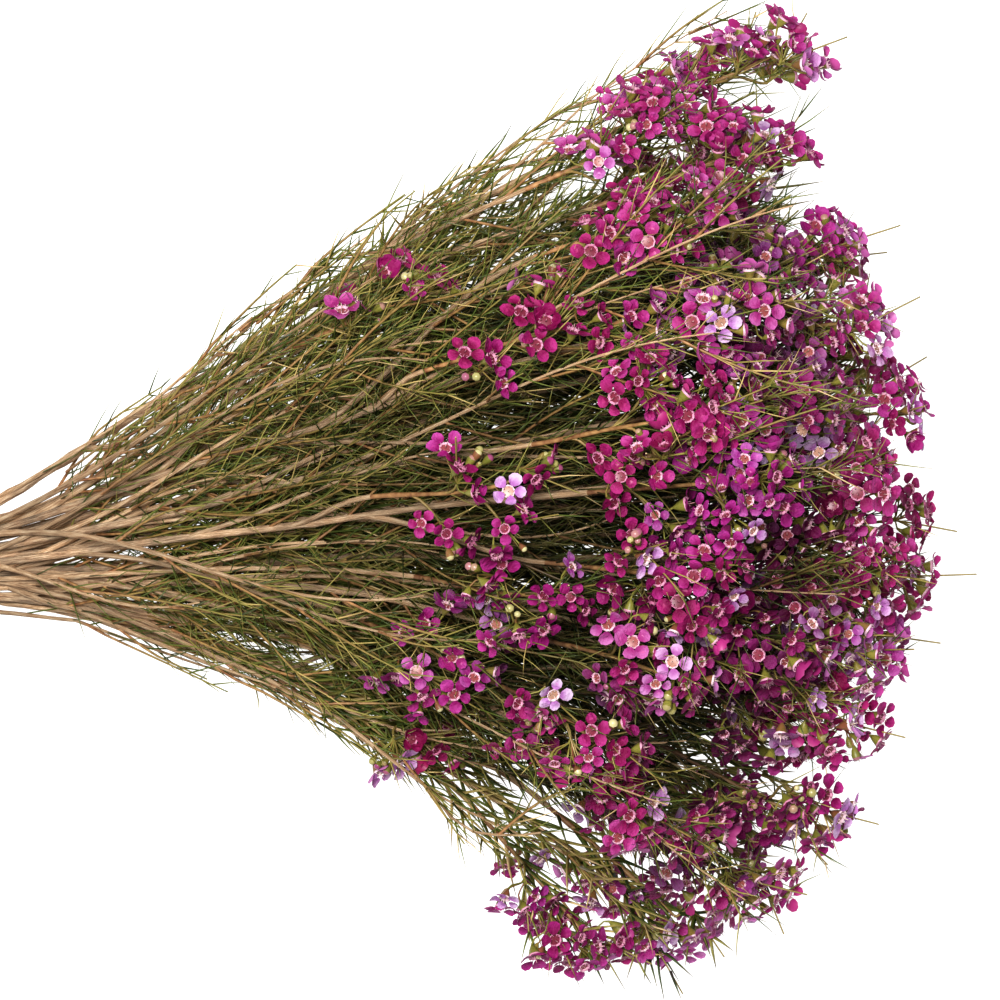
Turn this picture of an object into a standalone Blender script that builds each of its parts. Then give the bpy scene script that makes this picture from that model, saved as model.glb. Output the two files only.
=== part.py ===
"""A cut bunch of waxflower lying on its side, its stems held at the neck by a rubber band.

X runs along the bunch from the cut ends to the flowers, Y across it and Z up from the surface that
it lies on. Every size is a real one, in metres. Main stems pass through the neck side by side and
fan out in layers. A flowering spray ends each stem and each side branch, and leafy twigs and
needles stand all along the wood.
"""

import math

import bmesh
import bpy
import numpy as np
from mathutils import Vector
from mathutils.bvhtree import BVHTree

MM = 0.001

# The neck: stems in rows, packed like the cells of a honeycomb, inside the band
NECK_X = -60 * MM
NECK_Y = -30 * MM
STEM_PITCH = 3.9 * MM
ROW_PITCH = STEM_PITCH * math.sqrt(3) / 2
NECK_STEM_RADIUS = 1.6 * MM
BAND_CLEARANCE = 0.5 * MM
BAND_THICKNESS = 1.5 * MM
BAND_WIDTH = 6.6 * MM
BAND_CHAMFER = 0.4 * MM

# Wood, as the radius of the round stem that each many-sided tube stands for
CUT_RADIUS = 1.8 * MM
STEM_TIP_RADIUS = 1.15 * MM
BRANCH_RADIUS = 1.0 * MM
SPRAY_TIP_RADIUS = 0.8 * MM
TWIG_RADIUS = 0.95 * MM
STEM_SIDES = 5
BRANCH_SIDES = 4

# The points along a stem's centre line, and those of them where its solid has a ring
POINTS_BELOW_NECK = 13
POINTS_ABOVE_NECK = 49
STEM_RINGS = (0, 12, 13, 23, 33, 43, 52, 61)

# How the stems run
STEM_BELOW_NECK = 148 * MM
CUT_END_SCATTER = 9 * MM
STRAIGHT_IN_NECK = 5 * MM
SPLAY_ACROSS = 1.7
SPLAY_UP = 1.4
SWEEP = 0.36
STEM_WAVE = 2.2 * MM
WAVES = (1.5, 3.2)
SPRAY_BEND = 0.22
FAN_POINT = np.array((0, -15, 10)) * MM
FAN_BACK = -115 * MM
FAN_AHEAD = 90 * MM
FACE_CENTRE = np.array((370, -5, 95)) * MM
FULLY_OUTWARD = 60 * MM
BRANCH_ANGLE = math.radians(20)
LINE_GAP = 3.2 * MM

# The flowering sprays
SPRAY_LENGTH = 82 * MM
SPRAY_SHARE = 0.3
JOIN_GAP = 0.3 * MM
STALK_ANGLE = math.radians(38)
STALK_LENGTH = 27 * MM
TERMINAL_STALK = 14 * MM

# Florets, larger than life so that they cover the bunch as its many flowers do
FLORET_RADIUS = 11.6 * MM
NOTCH_SHARE = 0.5
PETAL_HALF_ANGLE = math.radians(19)
PETAL_LIFT = 0.12
CENTRE_SINK = 1.2 * MM
CALYX_DEPTH = 3.8 * MM
CALYX_RADIUS = 2.5 * MM
STALK_RADIUS = 0.45 * MM
HEAD_SPACING = 23.6 * MM
HEAD_TO_WOOD = 13.2 * MM
ROUNDS = 80

# Leafy twigs and needle leaves
TWIGS_PER_STEM = 2
TWIG_LENGTHS = (42 * MM, 68 * MM)
TWIG_ANGLE = math.radians(27)
LEAFY_FROM_X = 30 * MM
NEEDLE_RADIUS = 0.5 * MM
NEEDLE_LENGTHS = (20 * MM, 28 * MM)
NEEDLE_ANGLE = math.radians(35)
NEEDLES_PER_TWIG = 3
NEEDLES_PER_STEM = 4
NEEDLES_PER_SPRAY = 2

# Between two nodes, and under what doesn't touch the surface
CLEARANCE = 0.35 * MM
FLOOR_CLEARANCE = 0.8 * MM
TRIES = 14

# The sprays, by stem: each tip in millimetres along, across and up, and its number of florets.
# The stems are listed in their layers from the lowest, and in each layer from -Y to +Y. A stem's
# first spray is at its end, and the others stand on side branches.
LAYERS = (
    (
        ((282, -180, 50, 5), (310, -160, 88, 5)),
        ((290, -124, 34, 5),),
        ((328, 14, 36, 4),),
        ((284, 92, 32, 5),),
    ),
    (
        ((242, -186, 64, 5), (180, -106, 84, 3)),
        ((334, -78, 44, 4),),
        ((370, -36, 92, 5),),
        ((358, 52, 72, 4),),
        ((340, 104, 66, 5), (304, 146, 74, 4)),
    ),
    (
        ((334, -132, 116, 5), (338, -92, 150, 5)),
        ((350, -62, 140, 5), (188, -68, 140, 4)),
        ((348, -26, 166, 5), (368, -8, 120, 4)),
        ((344, 14, 164, 5), (362, 36, 128, 4)),
        ((346, 72, 150, 5), (336, 104, 136, 4)),
        ((320, 182, 120, 5), (312, 144, 148, 4), (282, 154, 150, 4)),
    ),
    (
        ((278, -132, 160, 5), (244, -98, 172, 4)),
        ((322, -58, 180, 4), (272, -70, 190, 3), (228, -38, 174, 4)),
        ((304, 8, 203, 4), (284, -28, 198, 4), (214, 8, 178, 4)),
        ((322, 42, 187, 4), (282, 32, 203, 4)),
        ((304, 78, 191, 4), (286, 120, 178, 4), (240, 70, 182, 4), (178, 84, 134, 3)),
    ),
)
# Low sprays, one to each side, on which the bunch rests with the band
RESTING_SPRAYS = (3, 5)


def unit(vector):
    return vector / np.linalg.norm(vector)


def bezier(a, b, c, d, count):
    t = np.linspace(0, 1, count)[:, None]
    return (1 - t) ** 3 * a + 3 * (1 - t) ** 2 * t * b + 3 * (1 - t) * t**2 * c + t**3 * d


def neck_places():
    """Each stem's place in the neck, across and up from the middle of the bundle, by layer."""
    middle = (len(LAYERS) - 1) / 2
    return [
        [
            np.array(((place - (len(layer) - 1) / 2) * STEM_PITCH, (row - middle) * ROW_PITCH))
            for place in range(len(layer))
        ]
        for row, layer in enumerate(LAYERS)
    ]


def neck_height():
    """The middle of the bundle above the surface, with the band's underside on it."""
    return (len(LAYERS) - 1) / 2 * ROW_PITCH + NECK_STEM_RADIUS + BAND_CLEARANCE + BAND_THICKNESS


def outward(point):
    """Away from the bunch's middle line, one unit long but less close to that line."""
    start = np.array((NECK_X, NECK_Y, neck_height()))
    along = unit(FACE_CENTRE - start)
    away = (point - start) - ((point - start) @ along) * along
    return away / max(np.linalg.norm(away), FULLY_OUTWARD)


def stem_line(place, base, heading, draw):
    """A stem's centre line, from its cut end through its place in the neck to its spray."""
    neck = np.array((NECK_X, NECK_Y + place[0], neck_height() + place[1]))
    straight = np.array((STRAIGHT_IN_NECK, 0, 0))
    rise = place[1] * (SPLAY_UP if place[1] > 0 else 1)
    cut = np.array(
        (
            NECK_X - STEM_BELOW_NECK + draw.uniform(-CUT_END_SCATTER, CUT_END_SCATTER),
            NECK_Y + place[0] * SPLAY_ACROSS,
            neck_height() + rise,
        )
    )
    enter, leave = neck - straight, neck + straight
    below = bezier(cut, cut + (enter - cut) * 0.4, enter - 8 * straight, enter, POINTS_BELOW_NECK)
    swept = heading * SWEEP * np.linalg.norm(base - leave)
    above = bezier(leave, leave + 7 * straight, base - swept, base, POINTS_ABOVE_NECK)
    share = np.linspace(0, 1, len(above))[:, None]
    swing = [unit(draw.normal(size=3)) for _ in range(2)]
    turns, phases = draw.uniform(*WAVES, 2), draw.uniform(0, 2 * math.pi, 2)
    wave = sum(s * np.sin(2 * math.pi * n * share + p) for s, n, p in zip(swing, turns, phases))
    above += STEM_WAVE * np.sin(math.pi * share**2) ** 2 * wave
    return np.vstack((below, above))


def spaced(line, step=2.5 * MM):
    """Points evenly along a line."""
    lengths = np.linalg.norm(np.diff(line, axis=0), axis=1)
    along = np.concatenate(((0,), np.cumsum(lengths)))
    at = np.linspace(0, along[-1], max(2, round(along[-1] / step) + 1))
    return np.stack([np.interp(at, along, line[:, axis]) for axis in range(3)], axis=1)


def gap_between(line, others):
    """The smallest distance from a line's points to the points of any of the others."""
    if not others:
        return math.inf
    points = np.vstack(others)
    return min(np.linalg.norm(points - point, axis=1).min() for point in line)


def branch_line(stem, base, heading, others):
    """A side branch from the stem to a spray, and its fork, the best for its angle that is clear."""
    choices = []
    for fork in range(POINTS_BELOW_NECK + 3, len(stem) - 4):
        chord = base - stem[fork]
        length = np.linalg.norm(chord)
        ahead = unit(stem[fork + 1] - stem[fork - 1])
        angle = math.acos(np.clip(chord @ ahead / length, -1, 1))
        choices.append((abs(angle - BRANCH_ANGLE), fork, ahead, length))
    best = None
    for _, fork, ahead, length in sorted(choices, key=lambda choice: choice[:2]):
        leave = unit(ahead + unit(base - stem[fork]))
        line = bezier(
            stem[fork], stem[fork] + leave * length * 0.35, base - heading * length * 0.35, base, 17
        )
        clear = gap_between(spaced(line[2:]), others)
        if best is None or clear > best[0]:
            best = (clear, line, fork)
        if clear > LINE_GAP:
            break
    return best[1:]


def plan_spray(tip, draw):
    """Where a spray's twig starts, which way it heads, and its centre line, bent a little.

    Sprays at +Y flatten out along the bunch, and those at -Y droop away from it.
    """
    shift = np.array((np.clip(-tip[1], FAN_BACK, FAN_AHEAD), 0, 0))
    heading = unit(tip - FAN_POINT - shift)
    length = min(SPRAY_LENGTH, SPRAY_SHARE * np.linalg.norm(tip - FAN_POINT))
    base = tip - heading * length
    end = tip - heading * TERMINAL_STALK
    bend = SPRAY_BEND * draw.uniform(-1, 1, 3)
    third = np.linalg.norm(end - base) / 3
    axis = bezier(base, base + heading * third, end - (heading + bend) * third, end, 13)
    return {"base": base, "heading": heading, "axis": axis, "tip": tip}


def plan_heads(spray, florets, draw):
    """Where each floret of a spray is, and which way it faces, before they make room."""
    heading, axis = spray["heading"], spray["axis"]
    away = outward(spray["tip"])
    out = away - (away @ heading) * heading
    out = unit(out + np.array((0, 0, 0.02)))
    beside = np.cross(heading, out)
    places, facings = [spray["tip"]], [unit(heading + 0.6 * away + 0.2 * draw.normal(size=3))]
    for k in range(1, florets):
        start = axis[round((0.12 + 0.7 * (k - 0.5) / (florets - 1)) * (len(axis) - 1))]
        turn = (1 if k % 2 else -1) * math.radians(draw.uniform(25, 95))
        side = math.cos(turn) * out + math.sin(turn) * beside
        stalk = math.cos(STALK_ANGLE) * heading + math.sin(STALK_ANGLE) * side
        places.append(start + stalk * STALK_LENGTH * draw.uniform(0.85, 1.15))
        facings.append(unit(0.5 * heading + 0.8 * away + 0.35 * side + 0.3 * draw.normal(size=3)))
    return np.array(places), np.array(facings)


def make_room(places, facings, wood):
    """Moves the florets apart, off the wood and off the surface, a little at a time."""
    lowest = FLORET_RADIUS * np.sqrt(1 - facings[:, 2] ** 2) + 1.5 * MM
    for _ in range(ROUNDS):
        apart = places[:, None] - places[None]
        distance = np.linalg.norm(apart, axis=2) + np.eye(len(places))
        push = np.clip(HEAD_SPACING - distance, 0, None) * (1 - np.eye(len(places)))
        places = places + 0.35 * (apart / distance[..., None] * push[..., None]).sum(axis=1)
        for i in range(len(places)):
            off = places[i] - wood
            distances = np.linalg.norm(off, axis=1)
            near = distances.argmin()
            if distances[near] < HEAD_TO_WOOD:
                places[i] += off[near] / distances[near] * (HEAD_TO_WOOD - distances[near]) * 0.5
        places[:, 2] = np.maximum(places[:, 2], lowest)
    return places


def plan_bunch():
    """The centre lines of every stem, branch and spray, and the florets' places."""
    draw = np.random.default_rng(20)
    places = neck_places()
    stems, sprays, lines = [], [], []
    for row, layer in enumerate(LAYERS):
        for order, tips in enumerate(layer):
            plans = [plan_spray(np.array(tip[:3]) * MM, draw) for tip in tips]
            for plan, tip in zip(plans, tips):
                plan.update(stem=len(stems), florets=tip[3])
            first = plans[0]
            line = stem_line(places[row][order], first["base"], first["heading"], draw)
            stems.append({"line": line, "branches": [], "plans": plans})
            lines.append(spaced(line))
            sprays += plans
    for plan in sprays:
        lines.append(spaced(plan["axis"]))
    for i, stem in enumerate(stems):
        own = [i] + [len(stems) + j for j, plan in enumerate(sprays) if plan["stem"] == i]
        for plan in stem["plans"][1:]:
            others = [line for j, line in enumerate(lines) if j not in own]
            line, fork = branch_line(stem["line"], plan["base"], plan["heading"], others)
            stem["branches"].append({"line": line, "fork": fork})
            own.append(len(lines))
            lines.append(spaced(line))
    heads = [plan_heads(plan, plan["florets"], draw) for plan in sprays]
    owners = np.concatenate([[i] * len(head[0]) for i, head in enumerate(heads)])
    places = np.vstack([head[0] for head in heads])
    facings = np.vstack([head[1] for head in heads])
    places = make_room(places, facings, np.vstack(lines))
    for i, plan in enumerate(sprays):
        plan["heads"] = places[owners == i]
        plan["facings"] = facings[owners == i]
    return stems, sprays


def skin(bm, near, far):
    """Faces between two rings of as many points, or from a ring to one point."""
    for i in range(len(near)):
        a, b = near[i], near[(i + 1) % len(near)]
        if len(far) == 1:
            bm.faces.new((a, b, far[0]))
        else:
            bm.faces.new((a, b, far[(i + 1) % len(near)], far[i]))


def ring(bm, centre, ahead, across, radius, sides):
    """Points round a centre, anticlockwise as seen from ahead."""
    across = (across - ahead * across.dot(ahead)).normalized()
    beside = ahead.cross(across)
    turns = [2 * math.pi * i / sides for i in range(sides)]
    return [
        bm.verts.new(centre + (math.cos(turn) * across + math.sin(turn) * beside) * radius)
        for turn in turns
    ]


def tube(points, radii, sides):
    """A closed tube along the points, which ends in a point where its last radius is 0."""
    bm = bmesh.new()
    points = [Vector(point) for point in points]
    across = (points[1] - points[0]).orthogonal()
    rings = []
    for i, (point, radius) in enumerate(zip(points, radii)):
        before, after = points[max(i - 1, 0)], points[min(i + 1, len(points) - 1)]
        ahead = (after - before).normalized()
        across = (across - ahead * across.dot(ahead)).normalized()
        one = radius == 0
        rings.append([bm.verts.new(point)] if one else ring(bm, point, ahead, across, radius, sides))
    for near, far in zip(rings, rings[1:]):
        skin(bm, near, far)
    bm.faces.new(rings[0][::-1])
    if len(rings[-1]) > 1:
        bm.faces.new(rings[-1])
    bmesh.ops.triangulate(bm, faces=bm.faces)
    return bm


def floret(root, centre, facing, size, turn):
    """A floret: a stalk that widens into the calyx, and five petals round a sunk centre."""
    bm = bmesh.new()
    root, centre, facing = Vector(root), Vector(centre), Vector(facing)
    under = centre - facing * CALYX_DEPTH * size
    stalk = (under - root).normalized()
    across = facing.orthogonal().normalized()
    beside = facing.cross(across)
    across = math.cos(turn) * across + math.sin(turn) * beside
    beside = facing.cross(across)
    rim = []
    for petal in range(5):
        middle = 2 * math.pi * petal / 5
        for angle, share, lift in (
            (middle - math.pi / 5, NOTCH_SHARE, 0),
            (middle - PETAL_HALF_ANGLE, 1, PETAL_LIFT),
            (middle + PETAL_HALF_ANGLE, 1, PETAL_LIFT),
        ):
            way = share * (math.cos(angle) * across + math.sin(angle) * beside) + lift * facing
            rim.append(bm.verts.new(centre + way * FLORET_RADIUS * size))
    first = math.cos(math.pi / 3 - math.pi / 5) * across + math.sin(math.pi / 3 - math.pi / 5) * beside
    cup = ring(bm, under, (stalk + facing).normalized(), first, CALYX_RADIUS * size, 3)
    foot = ring(bm, root, stalk, first, STALK_RADIUS, 3)
    skin(bm, foot, cup)
    bm.faces.new(foot[::-1])
    for i, corner in enumerate(cup):
        for j in range(5 * i, 5 * i + 5):
            bm.faces.new((corner, rim[(j + 1) % 15], rim[j]))
        bm.faces.new((corner, cup[(i + 1) % 3], rim[(5 * i + 5) % 15]))
    middle = bm.verts.new(centre - facing * CENTRE_SINK * size)
    skin(bm, rim, [middle])
    bmesh.ops.triangulate(bm, faces=bm.faces)
    return bm


def corners_of(bm):
    points = np.array([vertex.co for vertex in bm.verts])
    return points.min(axis=0), points.max(axis=0)


# Every piece so far: its node, its place in the node, its faces for testing, and its box
placed = []


class Node:
    """One solid of the bunch: its core, and the pieces that are joined to it."""

    def __init__(self, name, core, materials):
        self.name = name
        self.materials = materials
        self.pieces = []
        self.add(core, 0)

    def add(self, bm, material_index):
        for face in bm.faces:
            face.material_index = material_index
        placed.append((self, len(self.pieces), BVHTree.FromBMesh(bm), *corners_of(bm)))
        self.pieces.append(bm)


def is_clear(node, bm, parent_piece=0, rests=False):
    """Whether a piece would keep its distance from all others but the one that it grows from."""
    bm.normal_update()
    swollen = bm.copy()
    for vertex in swollen.verts:
        vertex.co += vertex.normal * CLEARANCE
    low, high = corners_of(swollen)
    tree = BVHTree.FromBMesh(swollen)
    swollen.free()
    if low[2] < FLOOR_CLEARANCE and not rests:
        return False
    for owner, place, other, other_low, other_high in placed:
        if owner is node and place == parent_piece:
            continue
        if (low <= other_high).all() and (high >= other_low).all() and tree.overlap(other):
            return False
    return True


def material(name, colour, roughness):
    made = bpy.data.materials.new(name)
    made.use_nodes = True
    shader = made.node_tree.nodes["Principled BSDF"]
    shader.inputs["Base Color"].default_value = (*colour, 1)
    shader.inputs["Roughness"].default_value = roughness
    shader.inputs["Metallic"].default_value = 0
    return made


def hull(corners, radius):
    """Of the corners, those on the outline round them all, anticlockwise."""

    def at(corner):
        return corner[0] + corner[1] * radius

    def turns_left(a, b, c):
        (ax, ay), (bx, by), (cx, cy) = at(a), at(b), at(c)
        return (bx - ax) * (cy - ay) - (by - ay) * (cx - ax) > 1e-9

    ordered = sorted(corners, key=lambda corner: tuple(at(corner)))
    outline = []
    for way in (ordered, ordered[::-1]):
        chain = []
        for corner in way:
            while len(chain) > 1 and not turns_left(chain[-2], chain[-1], corner):
                chain.pop()
            chain.append(corner)
        outline += chain[:-1]
    return outline


def band_node():
    """The rubber band: a flat ring drawn tight round the bundle, flat where it lies down."""
    turns = [math.radians(30 * i) for i in range(12)]
    corners = [
        (place, np.array((math.cos(turn), math.sin(turn))))
        for row in neck_places()
        for place in row
        for turn in turns
    ]
    inner = NECK_STEM_RADIUS + BAND_CLEARANCE
    corners = hull(corners, inner)
    outer = inner + BAND_THICKNESS
    half = BAND_WIDTH / 2
    profile = (
        (-half, inner),
        (-half, outer - BAND_CHAMFER),
        (-half + BAND_CHAMFER, outer),
        (half - BAND_CHAMFER, outer),
        (half, outer - BAND_CHAMFER),
        (half, inner),
    )
    bm = bmesh.new()
    loops = []
    for place, way in corners:
        loop = []
        for along, radius in profile:
            across, up = place + way * radius
            loop.append(bm.verts.new((NECK_X + along, NECK_Y + across, neck_height() + up)))
        loops.append(loop)
    for near, far in zip(loops, loops[1:] + loops[:1]):
        skin(bm, near, far)
    bmesh.ops.recalc_face_normals(bm, faces=bm.faces)
    return Node("tie", bm, ("rubber_band",))


def tilted(ahead, angle, turn):
    """A direction at an angle to ahead, turned round it."""
    across = unit(np.cross(ahead, (0, 0, 1.0)))
    up = np.cross(across, ahead)
    side = math.cos(turn) * across + math.sin(turn) * up
    return math.cos(angle) * ahead + math.sin(angle) * side


def stem_node(number, stem):
    """A main stem with its side branches."""
    line = stem["line"]
    kept = set(STEM_RINGS) | {branch["fork"] for branch in stem["branches"]}
    coarse = line[sorted(kept)]
    stem["coarse"] = coarse
    below = (CUT_RADIUS, NECK_STEM_RADIUS)
    above = np.linspace(NECK_STEM_RADIUS, STEM_TIP_RADIUS, len(coarse) - 2)
    core = tube(coarse, (*below, *above), STEM_SIDES)
    node = Node(f"stem_{number:02d}", core, ("bark", "leaf"))
    for branch in stem["branches"]:
        points = branch["line"][::4].copy()
        node.add(tube(points, [BRANCH_RADIUS] * len(points), BRANCH_SIDES), 0)
    return node


def spray_node(number, spray):
    """A spray's twig, a gap ahead of the branch that carries it."""
    coarse = spray["axis"][::6].copy()
    coarse[0] += spray["heading"] * JOIN_GAP
    spray["coarse"] = coarse
    radii = np.linspace(BRANCH_RADIUS, SPRAY_TIP_RADIUS, len(coarse))
    return Node(f"spray_{number:02d}", tube(coarse, radii, BRANCH_SIDES), ("twig", "petal", "leaf"))


def root_on(axis, head):
    """Which point of a spray's twig a stalk leaves to reach the head at its usual angle."""
    heading = unit(axis[-1] - axis[0])
    angles = [math.acos(np.clip(unit(head - point) @ heading, -1, 1)) for point in axis[1:-1]]
    return 1 + int(np.argmin(np.abs(np.array(angles) - STALK_ANGLE)))


def add_florets(node, spray, rests, draw):
    """Each floret on its stalk, nudged, turned or made smaller until it is clear.

    In a spray that the bunch rests on, the lowest petal touches the surface.
    """
    axis = spaced(spray["coarse"], 5 * MM)
    lowest = int(spray["heads"][:, 2].argmin()) if rests else -1
    for k, (head, facing) in enumerate(zip(spray["heads"], spray["facings"])):
        start = root_on(axis, head)
        for attempt in range(TRIES):
            root = axis[int(np.clip(start + round(draw.normal() * 0.2 * attempt), 1, len(axis) - 2))]
            if k == 0:
                root = axis[-1] - 1.5 * MM * spray["heading"]
            place = head + draw.normal(size=3) * 0.35 * MM * attempt
            look = unit(facing + 0.06 * attempt * draw.normal(size=3))
            size, turn = 1 - 0.02 * attempt, draw.uniform(0, 2 * math.pi)
            bm = floret(root, place, look, size, turn)
            if k == lowest:
                place[2] -= corners_of(bm)[0][2]
                bm.free()
                bm = floret(root, place, look, size, turn)
            if is_clear(node, bm, rests=k == lowest):
                node.add(bm, 1)
                break
            bm.free()


def grow_needles(node, line, count, parent_piece, material_index, draw):
    """Needles along a line of the node's wood, where they are clear."""
    for k in range(count):
        share = (k + 0.6) / (count + 0.3) * (len(line) - 1)
        for attempt in range(TRIES):
            at = float(np.clip(share + draw.uniform(-0.5, 0.5), 0.2, len(line) - 1.2))
            i = int(at)
            root = line[i] + (line[i + 1] - line[i]) * (at - i)
            ahead = unit(line[i + 1] - line[i])
            way = tilted(ahead, NEEDLE_ANGLE, 2.4 * k + draw.uniform(0, 2 * math.pi) * (attempt > 0))
            length = draw.uniform(*NEEDLE_LENGTHS) * (1 - 0.03 * attempt)
            bm = tube((root, root + way * length), (NEEDLE_RADIUS, 0), 3)
            if is_clear(node, bm, parent_piece):
                node.add(bm, material_index)
                break
            bm.free()


def leafy_line(stem):
    """Points along the middle of a stem's solid, from where its leaves begin."""
    line = spaced(stem["coarse"], 4 * MM)
    return line[line[:, 0] > LEAFY_FROM_X]


def grow_twigs(node, stem, draw):
    """Leafy twigs along a stem, above the neck."""
    line = leafy_line(stem)
    for k in range(TWIGS_PER_STEM):
        for attempt in range(TRIES):
            share = (k + 0.5 + draw.uniform(-0.35, 0.35)) / TWIGS_PER_STEM
            i = int(share * (len(line) - 3))
            ahead = unit(line[i + 1] - line[i])
            way = tilted(ahead, TWIG_ANGLE, draw.uniform(0, 2 * math.pi))
            length = draw.uniform(*TWIG_LENGTHS) * (1 - 0.04 * attempt)
            middle = line[i] + way * length * 0.5
            end = middle + unit(way + 0.5 * ahead) * length * 0.5
            bm = tube((line[i], middle, end), (TWIG_RADIUS, TWIG_RADIUS * 0.8, 0), BRANCH_SIDES)
            if is_clear(node, bm):
                node.add(bm, 0)
                twig = np.linspace(line[i], middle, 4)
                twig = np.vstack((twig, np.linspace(middle, end, 4)[1:]))
                grow_needles(node, twig, NEEDLES_PER_TWIG, len(node.pieces) - 1, 1, draw)
                break
            bm.free()


def build(node, materials, parent):
    """The node's object: its core, joined to its other pieces by one union."""
    objects = []
    for k, bm in enumerate(node.pieces):
        mesh = bpy.data.meshes.new(node.name if k == 0 else f"{node.name}_piece")
        bm.to_mesh(mesh)
        bm.free()
        for name in node.materials:
            mesh.materials.append(materials[name])
        objects.append(bpy.data.objects.new(mesh.name, mesh))
    core = objects[0]
    bpy.context.scene.collection.objects.link(core)
    if len(objects) > 1:
        group = bpy.data.collections.new(f"{node.name}_pieces")
        bpy.context.scene.collection.children.link(group)
        for piece in objects[1:]:
            group.objects.link(piece)
        union = core.modifiers.new("union", "BOOLEAN")
        union.operation = "UNION"
        union.operand_type = "COLLECTION"
        union.collection = group
        union.solver = "EXACT"
        seen = core.evaluated_get(bpy.context.evaluated_depsgraph_get())
        joined = bpy.data.meshes.new_from_object(seen)
        core.modifiers.clear()
        core.data = joined
        joined.name = node.name
        for piece in objects[1:]:
            bpy.data.objects.remove(piece)
        bpy.data.collections.remove(group)
    core.parent = parent
    return core


for old in list(bpy.data.objects):
    bpy.data.objects.remove(old)

materials = {
    "bark": material("bark", (0.36, 0.2, 0.1), 0.75),
    "leaf": material("leaf", (0.07, 0.14, 0.03), 0.5),
    "twig": material("twig", (0.22, 0.1, 0.05), 0.65),
    "petal": material("petal", (0.4, 0.02, 0.22), 0.45),
    "rubber_band": material("rubber_band", (0.6, 0.38, 0.2), 0.55),
}

stems, sprays = plan_bunch()
draw = np.random.default_rng(7)
nodes = [band_node()]
stem_nodes = [stem_node(i + 1, stem) for i, stem in enumerate(stems)]
spray_nodes = [spray_node(i + 1, spray) for i, spray in enumerate(sprays)]
for i, (node, spray) in enumerate(zip(spray_nodes, sprays)):
    add_florets(node, spray, i + 1 in RESTING_SPRAYS, draw)
for node, stem in zip(stem_nodes, stems):
    grow_twigs(node, stem, draw)
for node, stem in zip(stem_nodes, stems):
    grow_needles(node, leafy_line(stem), NEEDLES_PER_STEM, 0, 1, draw)
for node, spray in zip(spray_nodes, sprays):
    grow_needles(node, spaced(spray["coarse"], 4 * MM), NEEDLES_PER_SPRAY, 0, 2, draw)

# The origin is under the middle of the whole bunch, on the surface
bunch = bpy.data.objects.new("bunch", None)
bpy.context.scene.collection.objects.link(bunch)
solids = [build(node, materials, bunch) for node in nodes + stem_nodes + spray_nodes]
corners = np.array([vertex.co for solid in solids for vertex in solid.data.vertices])
low, high = corners.min(axis=0), corners.max(axis=0)
bunch.location = (-(low[0] + high[0]) / 2, -(low[1] + high[1]) / 2, -low[2])
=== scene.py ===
import math

import bmesh
import bpy
import numpy as np
from mathutils import Matrix, Vector


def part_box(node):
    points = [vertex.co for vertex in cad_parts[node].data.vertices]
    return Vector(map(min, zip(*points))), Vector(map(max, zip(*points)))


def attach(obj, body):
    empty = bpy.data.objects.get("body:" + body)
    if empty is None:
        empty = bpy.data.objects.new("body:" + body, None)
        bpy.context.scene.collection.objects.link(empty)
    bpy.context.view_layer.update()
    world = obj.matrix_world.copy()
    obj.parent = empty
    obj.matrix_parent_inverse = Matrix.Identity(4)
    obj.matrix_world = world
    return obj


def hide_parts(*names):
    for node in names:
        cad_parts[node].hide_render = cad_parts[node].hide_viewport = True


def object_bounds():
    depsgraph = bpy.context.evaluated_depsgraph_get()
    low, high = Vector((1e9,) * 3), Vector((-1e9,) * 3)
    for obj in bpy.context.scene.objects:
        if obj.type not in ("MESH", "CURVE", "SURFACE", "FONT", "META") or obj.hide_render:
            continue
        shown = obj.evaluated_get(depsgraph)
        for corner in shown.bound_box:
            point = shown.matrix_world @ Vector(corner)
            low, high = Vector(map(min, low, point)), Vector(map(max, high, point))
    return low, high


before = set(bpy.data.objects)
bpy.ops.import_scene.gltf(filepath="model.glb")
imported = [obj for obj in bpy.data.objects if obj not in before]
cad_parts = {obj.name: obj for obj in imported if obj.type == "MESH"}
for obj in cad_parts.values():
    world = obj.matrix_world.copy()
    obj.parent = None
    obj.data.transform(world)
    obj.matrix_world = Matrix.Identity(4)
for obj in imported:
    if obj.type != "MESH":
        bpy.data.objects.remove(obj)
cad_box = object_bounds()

MM = 0.001

# The view: straight down on the bunch as it lies, with the band just outside the left edge of a
# frame 400 mm wide. The room is a dim white all round, and one soft square lamp, high above and
# towards the picture's upper left, gives the petals their shape.
FRAME_WIDTH = 400 * MM
FRAMED_HEIGHT = 110 * MM
FRAME_FROM_TIE = np.array((260, 30, 0)) * MM
CAMERA_HEIGHT = 2.3
SENSOR = 36
LAMP_SIZE = 0.55
LAMP_POWER = 43
LAMP_FROM_CENTRE = (-0.2, 0.22, 1.8)
LAMP_AIM_HEIGHT = 0.1
ROOM_LIGHT = 0.15

tie_low, tie_high = (np.array(corner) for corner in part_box("tie"))
tie_at = (tie_low + tie_high) / 2
frame_centre = tie_at + FRAME_FROM_TIE
camera_data = bpy.data.cameras.new("camera")
camera_data.sensor_width = SENSOR
camera_data.lens = SENSOR * (CAMERA_HEIGHT - FRAMED_HEIGHT) / FRAME_WIDTH
camera = bpy.data.objects.new("camera", camera_data)
camera.location = (frame_centre[0], frame_centre[1], CAMERA_HEIGHT)
bpy.context.scene.collection.objects.link(camera)
bpy.context.scene.camera = camera
bpy.context.scene.view_settings.view_transform = "Standard"
bpy.context.scene.view_settings.look = "Medium High Contrast"

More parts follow.
